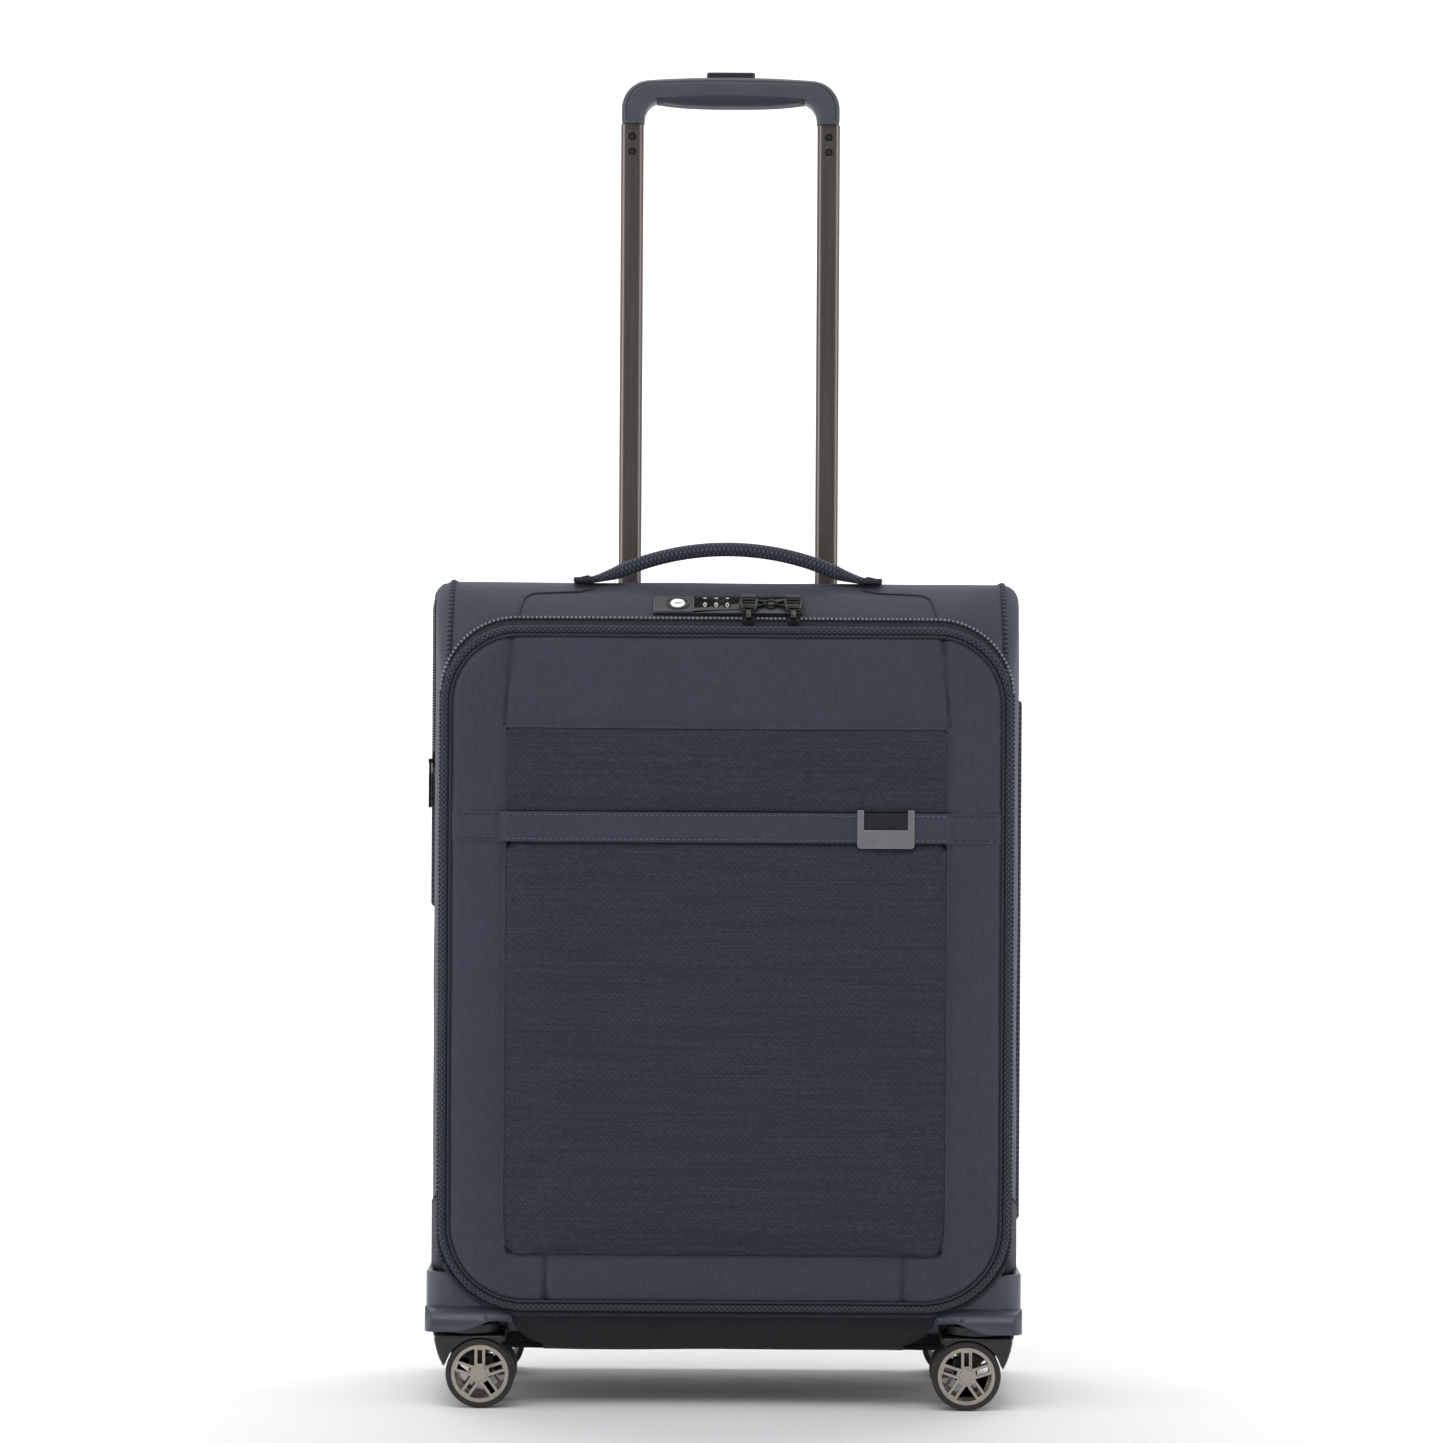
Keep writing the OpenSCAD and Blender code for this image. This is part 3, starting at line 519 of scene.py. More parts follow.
def settle(name, mesh, material, body, crease=38, outward=True):
    """Makes an object of a mesh, gives it its material and body, and smooths all but its creases."""
    if outward:
        bm = bmesh.new()
        bm.from_mesh(mesh)
        bmesh.ops.recalc_face_normals(bm, faces=bm.faces)
        bm.to_mesh(mesh)
        bm.free()
    obj = bpy.data.objects.new(name, mesh)
    bpy.context.scene.collection.objects.link(obj)
    mesh.materials.clear()
    mesh.materials.append(MATERIALS[material])
    mesh.shade_smooth()
    mesh.set_sharp_from_angle(angle=math.radians(crease))
    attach(obj, body)
    return obj


def bake(obj):
    """Replaces an object's mesh by what its modifiers make of it."""
    graph = bpy.context.evaluated_depsgraph_get()
    graph.update()
    mesh = bpy.data.meshes.new_from_object(obj.evaluated_get(graph))
    obj.modifiers.clear()
    obj.data = mesh
    return obj


def thicken(obj, thickness):
    """Gives a sheet its thickness, inward."""
    solid = obj.modifiers.new("thickness", "SOLIDIFY")
    solid.thickness = thickness * MM
    solid.offset = -1
    return bake(obj)


def refined(name, node, material, body, bevel=0.4, segments=2, crease=38):
    """A CAD node's own shape with its edges rounded, standing for that node."""
    bm = bmesh.new()
    bm.from_mesh(frame["nodes"][node].data)
    bmesh.ops.remove_doubles(bm, verts=bm.verts, dist=2e-6)
    bmesh.ops.dissolve_limit(bm, angle_limit=math.radians(1), verts=bm.verts, edges=bm.edges)
    mesh = bpy.data.meshes.new(name)
    bm.to_mesh(mesh)
    bm.free()
    obj = settle(name, mesh, material, body, crease)
    edges = obj.modifiers.new("edges", "BEVEL")
    edges.width = bevel * MM
    edges.segments = segments
    edges.limit_method = "ANGLE"
    edges.angle_limit = math.radians(32)
    edges.use_clamp_overlap = False
    edges.harden_normals = True
    bake(obj)
    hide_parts(node)
    return obj


def stitches(form, path, outward, length=2.3, gap=1.1, width=0.6, height=0.4):
    """Adds a row of short raised threads along a path; outward(p) is the surface's normal."""
    points = resample(path, length + gap)
    for a, b in zip(points, points[1:]):
        run = (b - a).normalized()
        up = Vector(outward(a)).normalized()
        side = run.cross(up).normalized()
        mid = (a + b) / 2
        rings = []
        for s, k in ((-0.5, 0.35), (-0.25, 1), (0.25, 1), (0.5, 0.35)):
            centre = mid + run * (s * length)
            rings.append([
                centre + side * (width / 2 * k) - up * 0.1,
                centre + side * (width / 4 * k) + up * (height * k),
                centre - side * (width / 4 * k) + up * (height * k),
                centre - side * (width / 2 * k) - up * 0.1,
            ])
        form.add(loft(rings))
    return form


PRESSURE = 4


def inflate(obj, reach, held, steps=20):
    """Swells a closed pad with a cloth simulation.

    Points that held(p) names stay put, and none moves past reach.
    """
    start = [v.co.copy() for v in obj.data.vertices]
    group = obj.vertex_groups.new(name="held")
    group.add([i for i, p in enumerate(start) if held(p / MM)], 1.0, "REPLACE")
    cloth = obj.modifiers.new("cloth", "CLOTH")
    cloth.settings.use_pressure = True
    cloth.settings.uniform_pressure_force = PRESSURE
    cloth.settings.effector_weights.gravity = 0
    cloth.settings.vertex_group_mass = "held"
    cloth.point_cache.frame_start = 1
    cloth.point_cache.frame_end = steps
    scene = bpy.context.scene
    scene.frame_start, scene.frame_end = 1, steps
    for step in range(1, steps + 1):
        scene.frame_set(step)
    bake(obj)
    scene.frame_set(1)
    for vertex, p in zip(obj.data.vertices, start):
        move = vertex.co - p
        if move.length > reach * MM:
            vertex.co = p + move.normalized() * (reach * MM)
    return obj


def remeshed(obj, voxel, smooth=4):
    """Turns a pad into even cells, with its edges softened."""
    cells = obj.modifiers.new("cells", "REMESH")
    cells.mode = "VOXEL"
    cells.voxel_size = voxel * MM
    soft = obj.modifiers.new("soft", "SMOOTH")
    soft.iterations = smooth
    return bake(obj)


def subdivided(obj, levels=1):
    finer = obj.modifiers.new("finer", "SUBSURF")
    finer.levels = finer.render_levels = levels
    bake(obj)
    obj.data.shade_smooth()
    return obj


# ---------- the case's outer shell ----------


def section(y):
    """Half width, bottom, top and the two corner radii of the case at a depth."""
    if y < RIM_Y + SHOULDER_D:
        u = (y - RIM_Y) / SHOULDER_D
        f = 1 - (1 - u) ** 2
        return (
            RIM[0] + f * (CASE_HALF - RIM[0]),
            RIM[1] - f * (RIM[1] - CASE_BOTTOM),
            RIM[2] + f * (CASE_TOP - RIM[2]),
            LID_R_BOTTOM + u * (CASE_R - LID_R_BOTTOM),
            LID_R_TOP + u * (CASE_R - LID_R_TOP),
        )
    past = min(max((y - (BACK_Y - REAR_R)) / REAR_R, 0), 1)
    inset = REAR_R * (1 - math.sqrt(1 - past * past))
    return CASE_HALF - inset, CASE_BOTTOM + inset, CASE_TOP - inset, CASE_R, CASE_R


def shell_ring(y, out=0.0, **counts):
    """The case's outline at a depth, grown outward."""
    half, low, high, r_low, r_high = section(y)
    ring = outline(half + out, low - out, high + out, r_low + out, r_high + out, **counts)
    return [Vector((x, y, z)) for x, z in ring]


def slope_y(z):
    """Depth at which the shoulder's top surface has a height."""
    return RIM_Y + SHOULDER_D * (1 - math.sqrt(max(1 - (z - RIM[2]) / (CASE_TOP - RIM[2]), 0)))


def slope_normal(z):
    """Normal of the shoulder's top surface at a height."""
    u = (slope_y(z) - RIM_Y) / SHOULDER_D
    rise = 2 * (1 - u) * (CASE_TOP - RIM[2]) / SHOULDER_D
    return Vector((0, -rise, 1)).normalized()


def top_at(x, y):
    """Height of the case's top surface, which the corner radius pulls down."""
    half, _, high, _, r = section(y)
    past = abs(x) - (half - r)
    return high - (r - math.sqrt(max(r * r - past * past, 0)) if past > 0 else 0)


SHELL_DEPTHS = (
    [RIM_Y + SHOULDER_D * i / 20 for i in range(20)]
    + [RIM_Y + SHOULDER_D + (BACK_Y - REAR_R - RIM_Y - SHOULDER_D) * i / 28 for i in range(29)]
    + [BACK_Y - REAR_R + REAR_R * math.sin(math.radians(REAR_END * i / 8)) for i in range(1, 9)]
)


def ripple(p, size, amount):
    """A seeded, smooth unevenness for cloth."""
    return amount * noise.noise(Vector(p) / size)


def in_housing(p):
    """Whether a point of the shell is cut away for a wheel housing."""
    return abs(p.x) > HOUSING_X and abs(p.y) > HOUSING_Y and p.z < HOUSING_TOP


def in_side(p):
    """Whether a point of the shell belongs to a side panel."""
    beside = HOUSING_TOP < p.z < RIM[2] - LID_R_TOP and abs(p.x) > SIDE_X
    return abs(p.x) > SEAM_X or beside


def panel_of(p):
    """The CAD panel that a point of the shell belongs to."""
    if in_housing(p):
        return None
    if in_side(p):
        return "side_panel_left" if p.x < 0 else "side_panel_right"
    return "top_panel" if p.z > MID_Z else "bottom_panel"


def case_panels():
    """The four cloth walls, cut from one loft and thickened inward."""
    rings = [shell_ring(y) for y in SHELL_DEPTHS]
    points, faces, _ = loft(rings, caps=False)
    bm = bmesh.new()
    verts = [bm.verts.new(p) for p in points]
    for face in faces:
        bm.faces.new([verts[i] for i in face])
    cuts = [((s * x, 0, 0), (1, 0, 0)) for s in (-1, 1) for x in (SEAM_X, HOUSING_X)]
    cuts += [((0, s * HOUSING_Y, 0), (0, 1, 0)) for s in (-1, 1)]
    cuts += [((0, 0, HOUSING_TOP), (0, 0, 1)), ((0, 0, RIM[2] - LID_R_TOP), (0, 0, 1))]
    well_low, well_high = box("handle_bezel")
    well_half, well_front, well_back = well_high.x - WELL_RIM, well_low.y + WELL_RIM, well_high.y - WELL_RIM
    cuts += [((s * well_half, 0, 0), (1, 0, 0)) for s in (-1, 1)]
    cuts += [((0, y, 0), (0, 1, 0)) for y in (well_front, well_back)]
    for place, normal in cuts:
        geometry = bm.verts[:] + bm.edges[:] + bm.faces[:]
        bmesh.ops.bisect_plane(bm, geom=geometry, dist=0.01, plane_co=place, plane_no=normal)
    groups = {}
    for face in bm.faces:
        c = face.calc_center_median()
        in_well = abs(c.x) < well_half and well_front < c.y < well_back and c.z > MID_Z
        name = None if in_well else panel_of(c)
        if name:
            groups.setdefault(name, []).append(face)
    for name, group in groups.items():
        index, form = {}, Form()
        for face in group:
            for v in face.verts:
                index.setdefault(v, len(index))
            form.faces.append(tuple(index[v] for v in face.verts))
            form.uvs += [(v.co.y * MM, v.co.z * MM) for v in face.verts]
        for v in index:
            swell = ripple(v.co, 70, 0.7)
            seam = min(abs(abs(v.co.x) - SEAM_X) / 14, 1)
            form.points.append(v.co + v.normal * (swell * seam))
        # the bottom panel takes the near-black cloth, painted shade for its downward-facing surface
        material = "base_fabric" if name == "bottom_panel" else "panel_fabric"
        obj = form.piece("shell_" + name, material, "case", outward=False)
        thicken(obj, WALL)
        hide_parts(name)
    bm.free()


case_panels()


def patch(name, material, out, depths, inside, thickness=0.6):
    """A piece of cloth sewn over the shell, on the cells that inside(p) names."""
    rings = [shell_ring(y, out, corner=16, across=96, up=110) for y in depths]
    points, faces, _ = loft(rings, caps=False)
    form, index = Form(), {}
    for face in faces:
        if inside(sum((points[i] for i in face), Vector()) / 4):
            for i in face:
                index.setdefault(i, len(index))
            form.faces.append(tuple(index[i] for i in face))
            form.uvs += [(points[i].x * MM, points[i].z * MM) for i in face]
    form.points = [points[i] for i in index]
    return thicken(form.piece(name, material, "case", outward=False), thickness)


EDGE_DEPTHS = [RIM_Y + 2.2 * i for i in range(22)]


def over_housing(p, side):
    """Whether a point of the shell lies on the coarse patch above a front housing."""
    top = HOUSING_TOP + 52 - (p.y - RIM_Y) * 0.25
    return p.x * side > SIDE_X and HOUSING_TOP + 0.5 < p.z < top


for side, name in ((-1, "left"), (1, "right")):
    patch(
        "corner_patch_" + name, "corner_weave", 0.7, EDGE_DEPTHS,
        lambda p, side=side: over_housing(p, side),
    )


# ---------- piping, tape and coil of the zips ----------


def body_piping():
    """The cords along both side seams, over the top and down the back."""
    r = 2.3
    x = SEAM_X + 0.4
    form = Form()
    depths = [y for y in SHELL_DEPTHS if y < BACK_Y - 3]
    over = [Vector((x, y, top_at(x, y) - 0.7)) for y in depths]
    corner = [Vector((x, BACK_Y - 1, CASE_TOP - 17)), Vector((x, BACK_Y + 0.5, CASE_TOP - 26))]
    down = [Vector((x, BACK_Y + 0.6, z)) for z in range(int(CASE_TOP) - 40, int(HOUSING_TOP) + 6, -12)]
    form.add(round_ended(over + corner + down, r, 12, first=(1, 0, 0)))
    obj = form.both_sides().piece("side_seam_cord", "trim", "case")
    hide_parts("body_piping")


body_piping()


def lid_loop(inset, y, **counts):
    """The lid's outline, shrunk by inset, at a depth."""
    ring = outline(
        LID_HALF - inset, LID_BOTTOM + inset, LID_TOP - inset, LID_R_BOTTOM - inset, LID_R_TOP - inset,
        corner=20, **counts,
    )
    return [Vector((x, y, z)) for x, z in ring]


def lid_piping():
    """The cord round the lid, with a thin second welt inside it."""
    form = Form()
    form.add(tube(lid_loop(PIPING_R + 0.1, PIPING_Y, up=120, across=90), PIPING_R + 0.15, 14, closed=True))
    form.add(tube(lid_loop(2 * PIPING_R + 1.3, FACE_Y + 0.6, up=120, across=90), 0.9, 8, closed=True))
    obj = form.piece("lid_piping_cord", "trim", "lid")
    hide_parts("lid_piping")


lid_piping()


def ring_at(u, out):
    """The rim's outline a share u of the way up the shoulder."""
    return shell_ring(RIM_Y + SHOULDER_D * u, out, corner=20, across=90, up=120)


def main_zip():
    """The case's half of the main zip: tape, rolled edge, and teeth; the one coil is painted pale over the
    top and in the darker cord colour down the sides, a lit and a shaded copy.
    """
    profile = ((-0.05, -3.5), (-0.05, 0.2), (0.0, 0.7), (0.04, 0.9), (0.07, 0.8), (0.1, 0.2))
    tape = Form().add(loft([ring_at(u, out) for u, out in profile], caps=False))
    thicken(tape.piece("main_zip_tape", "zip", "case", outward=False), 0.5)
    Form().add(tube(ring_at(0.085, 0.9), 1.5, 12, closed=True)).piece("main_zip_roll", "trim", "case")
    over, beside = Form(), Form()
    path = ring_at(0.075, 2.4)
    for p, t, n, s in frames_along(resample(path + path[:1], 2.9), True):
        # painted light: the same coil is pale where it runs over the top and faces the light, dark down the
        # sides
        coil = over if p.z > RIM[2] - LID_R_TOP * 0.8 else beside
        coil.add(block(1.6, 2.2, 1.7, 0.5, n=2), basis(p, t, n, s))
    over.piece("main_zip_teeth", "zip_teeth", "case")
    beside.piece("main_zip_teeth_beside", "trim", "case")
    loop = lid_loop(-2.5, -87.3, up=120, across=90)
    start = next(i for i, p in enumerate(loop) if p.x < 0 and p.z < 96)
    foot = loop[start:] + [p for p in loop[:start] if p.z < 96]
    Form().add(round_ended(foot, 2.1, 12)).piece("main_zip_foot_roll", "trim", "case")


main_zip()


def side_zip(name, side, low, high, teeth_above):
    """A rolled zip down a side, with its coil on the front."""
    slider_low, slider_high = box("side_slider")
    y = (slider_low.y + slider_high.y) / 2
    x = side * (CASE_HALF + 0.4)
    path = []
    for i in range(61):
        z = low + (high - low) * i / 60
        lean = max(z - (CASE_TOP - CASE_R - 6), 0)
        path.append(Vector((x - side * lean * 0.16, y, z)))
    if high > CASE_TOP - CASE_R:
        last = path[-1]
        for a in (15, 32, 50, 68):
            turn = math.radians(a)
            step = (-side * CASE_R * (1 - math.cos(turn)), 0, CASE_R * 0.75 * math.sin(turn))
            path.append(last + Vector(step))
    roll = Form().add(round_ended(path, 3.4, 16))
    for dy in (-3.6, 3.6):
        roll.add(round_ended([p + Vector((-side * 0.8, dy, 0)) for p in path], 1.5, 10))
    obj = roll.piece(name, "trim", "case")
    coil = Form()
    for p in resample(path, 1.9):
        if p.z > teeth_above:
            for dy in (-1.7, 0.0):
                place = at(p.x + side * 2.3, p.y + dy - 0.4, p.z + (0.9 if dy else 0))
                coil.add(block(1.5, 1.5, 0.9, 0.35, n=2), place @ turned(18 * side, "X"))
    if coil.faces:
        coil.piece(name + "_teeth", "zip_teeth", "case")
    return obj


NO_TEETH = 1000
zip_piece = side_zip("side_zip_left", -1, 330, CASE_TOP - CASE_R + 1, box("side_slider")[0].z + 2)
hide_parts("body_zips")
side_zip("side_zip_right", 1, 118, 474, NO_TEETH)


def shoulder_seam():
    """The stitched edge of the plain panel that carries the lock."""
    turns = [(141, 524), (138.5, 534), (136.5, 540.5), (131, 543.2), (118, 544), (100, 544.6), (90, 547)]
    path = resample([(x, 0, z) for x, z in turns], 2)
    welt, thread = Form(), Form()
    on = [Vector((p.x, slope_y(p.z), p.z)) + slope_normal(p.z) * 0.25 for p in path]
    welt.add(tube(on, 0.75, 8))
    beside = [p + Vector((3.4, 0, 0)) for p in on if p.z < 540.5]
    beside = [Vector((p.x, slope_y(p.z), p.z)) + slope_normal(p.z) * 0.15 for p in beside]
    stitches(thread, beside, lambda p: slope_normal(min(p.z, 551)))
    welt.both_sides().piece("shoulder_seam", "dark_thread", "case")
    thread.both_sides().piece("shoulder_stitches", "thread", "case")


shoulder_seam()


# ---------- lid ----------

LID_ROUND = 7
POCKET_RECESS = -5.5
face_half = LID_HALF - 2 * PIPING_R
face_bottom = LID_BOTTOM + 2 * PIPING_R
face_top = LID_TOP - 2 * PIPING_R
POCKET_HALF = pocket_high.x
POCKET_BOTTOM = pocket_low.z
POCKET_TOP = pocket_high.z
STRIP_LOW, STRIP_HIGH = strip_low.z, strip_high.z
UPPER_SEAM = ((POCKET_HALF - 5.2, face_top), (POCKET_HALF - 0.3, POCKET_TOP))
LOWER_SEAM = ((119, POCKET_BOTTOM), (119, face_bottom))
POCKET_EDGE = ((POCKET_HALF, POCKET_BOTTOM), (POCKET_HALF, POCKET_TOP))
POCKET_FOOT = ((0, POCKET_BOTTOM), (POCKET_HALF, POCKET_BOTTOM))
POCKET_HEAD = ((0, POCKET_TOP), (POCKET_HALF, POCKET_TOP))


def to_segment(x, z, segment):
    """Distance of a point from a line segment."""
    (ax, az), (bx, bz) = segment
    dx, dz = bx - ax, bz - az
    t = min(max(((x - ax) * dx + (z - az) * dz) / (dx * dx + dz * dz), 0), 1)
    return math.hypot(x - ax - dx * t, z - az - dz * t)


def edge_distance(x, z, half, low, high, r_low, r_high):
    """How far a point lies inside an upright rounded rectangle."""
    upper = z > (low + high) / 2
    r = r_high if upper else r_low
    past_x = abs(x) - (half - r)
    past_z = z - (high - r) if upper else low + r - z
    if past_x > 0 and past_z > 0:
        return r - math.hypot(past_x, past_z)
    return min(half - abs(x), high - z, z - low)


def rolled_off(d, r):
    """Drop of a rounded edge at a distance from its outline."""
    return r - math.sqrt(max(r * r - (r - d) ** 2, 0)) if d < r else 0


def lid_swell(x, z):
    """How far the lid's cloth stands out in front of its face."""
    ax = abs(x)
    d_edge = max(
        edge_distance(x, z, face_half, face_bottom, face_top, LID_R_BOTTOM - 5, LID_R_TOP - 5), 0
    )
    d_seam = min(to_segment(ax, z, s) for s in (UPPER_SEAM, LOWER_SEAM))
    d_pocket = min(to_segment(ax, z, s) for s in (POCKET_EDGE, POCKET_FOOT, POCKET_HEAD))
    pad = 2.4 * (1 - math.exp(-min(d_edge, d_seam, d_pocket) / 11))
    groove = 2.3 * math.exp(-((d_seam / 1.5) ** 2)) + 0.9 * math.exp(-((d_pocket / 2.2) ** 2))
    if ax < POCKET_HALF - 3 and POCKET_BOTTOM + 3 < z < POCKET_TOP - 2.5:
        return POCKET_RECESS
    return pad - groove - rolled_off(d_edge, LID_ROUND) + ripple((x, 0, z), 38, 0.45)


def row_half(z, half, low, high, r_low, r_high):
    """Half width of an upright rounded rectangle at a height."""
    upper = z > (low + high) / 2
    r = r_high if upper else r_low
    past = z - (high - r) if upper else low + r - z
    return half - r + math.sqrt(max(r * r - past * past, 0)) if past > 0 else half


def cushion(half, low, high, r_low, r_high, surface, back, columns, step):
    """A closed panel in an upright rounded outline. surface(x, z) is its front's depth."""
    heights = [low + r_low * (1 - math.cos(math.radians(90 * i / 18))) for i in range(18)]
    count = int((high - low - r_low - r_high) / step)
    heights += [low + r_low + (high - low - r_low - r_high) * i / count for i in range(count + 1)]
    heights += [high - r_high * (1 - math.sin(math.radians(90 * i / 18))) for i in range(1, 19)]
    rings = []
    inner = half - 35
    edge = [inner + (half - inner) * i / 16 for i in range(17)]
    middle = [-inner + 2 * inner * i / columns for i in range(columns + 1)]
    level = [-x for x in edge[:0:-1]] + middle + edge[1:]
    for z in heights:
        w = row_half(z, half, low, high, r_low, r_high)
        ring = [(x * w / half, surface(x * w / half, z), z) for x in level]
        ring += [(w - 2 * w * i / 12, back, z) for i in range(13)]
        rings.append(ring)
    return loft(rings)


def lid_panel():
    """The lid's padded cloth face."""
    form = Form().add(cushion(
        face_half, face_bottom, face_top, LID_R_BOTTOM - 5, LID_R_TOP - 5,
        lambda x, z: FACE_Y - lid_swell(x, z), LID_BACK_Y, 180, 2,
    ))
    obj = form.piece("lid_padding", "panel_fabric", "lid", crease=60)
    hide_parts("lid_panel")


lid_panel()


def pocket(name, low, high, front, corner, reach):
    """A ribbed pocket panel, swelled by cloth simulation between its sewn edges."""
    back = FACE_Y + 5
    depth = back - front
    place = at(0, (back + front) / 2, (low + high) / 2) @ turned(90, "X")
    form = Form().add(block(POCKET_HALF * 2 + 1.4, high - low, depth, 3.2, corner), place)
    obj = form.piece(name, "ribbed_fabric", "lid")
    remeshed(obj, 4.6, 3)
    inflate(obj, reach, lambda p: p.y > FACE_Y + 1.5)
    subdivided(obj)
    return obj


lower_pocket = pocket("lower_pocket", POCKET_BOTTOM - 0.5, STRIP_LOW + 4, FACE_Y - 2.6, 12, 4.0)
pocket("upper_pocket", STRIP_HIGH - 4, POCKET_TOP + 0.8, FACE_Y - 1.6, 3.4, 2.0)
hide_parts("pocket_panels")

STRIP_FRONT = FACE_Y - 2.9


def strip_depth(x):
    """Depth of the sewn strip's face across the lid."""
    beside = FACE_Y - lid_swell(max(abs(x), POCKET_HALF + 1), (STRIP_LOW + STRIP_HIGH) / 2) - 0.8
    t = min(max((abs(x) - POCKET_HALF + 1) / 4, 0), 1)
    return STRIP_FRONT + (beside - STRIP_FRONT) * t * t * (3 - 2 * t)


def centre_strip():
    """The band sewn across the lid, with its two rows of stitches."""
    half = strip_high.x
    mid = (STRIP_LOW + STRIP_HIGH) / 2
    path = [-half + 2 * half * i / 240 for i in range(241)]
    band = rounded_rect(1.6, STRIP_HIGH - STRIP_LOW, 0.6)
    rings = [[(x, strip_depth(x) + 0.8 + y, mid + z) for y, z in band] for x in path]
    obj = Form().add(loft(rings)).piece("centre_strip_band", "panel_fabric", "lid")
    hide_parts("centre_strip")
    light, dark = Form(), Form()
    for z in (STRIP_LOW + 1.9, STRIP_HIGH - 1.9):
        for low, high, form in ((-half + 4, -POCKET_HALF - 2, dark), (POCKET_HALF + 2, half - 4, dark),
                                (-POCKET_HALF + 2, POCKET_HALF - 2, light)):
            row = [low + (high - low) * i / 90 for i in range(91)]
            length, gap, width = (3.0, 2.0, 1.1) if form is dark else (2.3, 1.2, 0.7)
            stitches(form, [(x, strip_depth(x), z) for x in row], lambda p: (0, -1, 0), length, gap, width)
    light.piece("strip_stitches", "thread", "lid")
    dark.piece("column_stitches", "dark_thread", "lid")


centre_strip()


def badge():
    """The blank badge plate and the ribbed webbing behind its window."""
    refined("badge_plate_face", "badge_plate", "pale_metal", "lid", 0.45, 3)
    low, high = box("badge_insert")
    form = Form()
    count = 15
    for i in range(count):
        x = low.x + (high.x - low.x) * (i + 0.5) / count
        rib = block((high.x - low.x) / count * 0.92, 1.6, high.z - low.z, 0.35, n=2)
        form.add(rib, at(x, (low.y + high.y) / 2, (low.z + high.z) / 2))
    obj = form.piece("badge_webbing", "dark_thread", "lid")
    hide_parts("badge_insert")


badge()


def lid_inside():
    """The zip on the lid's edge, its lining and its net pocket."""
    tape = Form()
    profile = ((1.8, -87.9), (2.4, -86.9), (13, -86.7), (14, -87.9))
    tape.add(loft([lid_loop(inset, y, across=60, up=70) for inset, y in profile], path_closed=True))
    obj = tape.piece("lid_zip_band", "zip", "lid")
    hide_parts("lid_zip_tape")
    teeth = Form()
    path = lid_loop(3.2, -86.9, across=60, up=70)
    for p, t, n, s in frames_along(resample(path + path[:1], 2.6), True):
        teeth.add(block(1.3, 1.0, 2.6, 0.4, n=1), basis(p, t, n, s))
    teeth.piece("lid_zip_teeth", "zip_teeth", "lid")
    half, low, high = face_half - 10, face_bottom + 10, face_top - 10
    quilt = cushion(
        half, low, high, LID_R_BOTTOM - 15, LID_R_TOP - 15,
        lambda x, z: LID_BACK_Y + 0.4 + ripple((x, 5, z), 30, 0.25), LID_BACK_Y - 0.6, 60, 6,
    )
    Form().add(quilt).piece("lid_lining", "lining_fabric", "lid")
    net_low, net_high = box("lid_mesh_pocket")
    net = cushion(
        net_high.x, net_low.z, net_high.z, 20, 4,
        lambda x, z: net_high.y + 1.2 * math.sin(math.pi * (z - net_low.z) / (net_high.z - net_low.z))
        + ripple((x, 9, z), 24, 0.5), LID_BACK_Y + 0.2, 90, 3,
    )
    obj = Form().add(net).piece("lid_net", "mesh_fabric", "lid")
    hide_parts("lid_mesh_pocket")
    hem = Form()
    for z in (net_high.z - 2, net_low.z + 2):
        hem.add(block(2 * net_high.x - (0 if z > 200 else 36), 1.6, 9, 0.7), at(0, net_high.y + 0.6, z))
    hem.piece("lid_net_hem", "zip", "lid")


lid_inside()


def lid_hinge_cloth():
    """The strip of cloth that the lid turns on."""
    x = -RIM[0] + 1.5
    low, high = LID_BOTTOM + LID_R_BOTTOM + 6, LID_TOP - LID_R_TOP - 6
    rings = []
    for i in range(13):
        y = RIM_Y + 3 - (RIM_Y + 3 - LID_BACK_Y + 1) * i / 12
        rings.append([(x + 0.5 * s, y, z) for s, z in ((-1, low), (1, low), (1, high), (-1, high))])
    obj = Form().add(loft(rings)).piece("lid_hinge_cloth", "zip", "case")
    obj.parent = None
    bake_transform(obj)


lid_hinge_cloth()


# ---------- wheel housings and casters ----------

def bottom_cover():
    """The base cloth that wraps up in front of the housings' inner ends, in the near-black cloth that
    paints in the shade of this downward-facing strip.
    """
    half, top, bottom = 106, 61.5, 39.6
    edge = [
        (-141.5, top), (-141.2, 57), (-139.5, 53), (-136, 49.5), (-131, 46), (-125, 43), (-117, 40.8),
        (-half, bottom),
    ]
    across = [(-half + 2 * half * i / 40, bottom - 0.5 * math.sin(math.pi * i / 40)) for i in range(1, 40)]
    foot = edge + across + [(-x, z) for x, z in edge[::-1]]
    rings = []
    for x, z in foot:
        ring = []
        for k in range(13):
            u = k / 12
            front = -88.6 + 4.5 * u**3 + ripple((x, 0, 40 * u), 26, 0.35)
            ring.append((x, front, top + (z - top) * u))
        ring += [(x, -83.5, z + 0.8), (x, -83.5, top)]
        rings.append(ring)
    Form().add(loft(rings)).piece("bottom_cover", "base_fabric", "case", crease=60)


bottom_cover()

refined("housings_front", "wheel_housings_front", "housing_plastic", "case", 1.3, 3)
refined("housings_rear", "wheel_housings_rear", "housing_plastic", "case", 1.3, 3)

HOUSING_FACE_Y = -86.2

# A tyre's section, as (distance outside its radius, distance along its axle)
TYRE_PROFILE = [
    (-3.75, -6.4), (-3.0, -7.3), (-1.3, -7.2), (-0.35, -6.3), (0, -4.4), (0, -1.3), (-0.45, -0.9),
    (-0.45, 0.9), (0, 1.3), (0, 4.4), (-0.35, 6.3), (-1.3, 7.2), (-3.0, 7.3), (-3.75, 6.4),
]


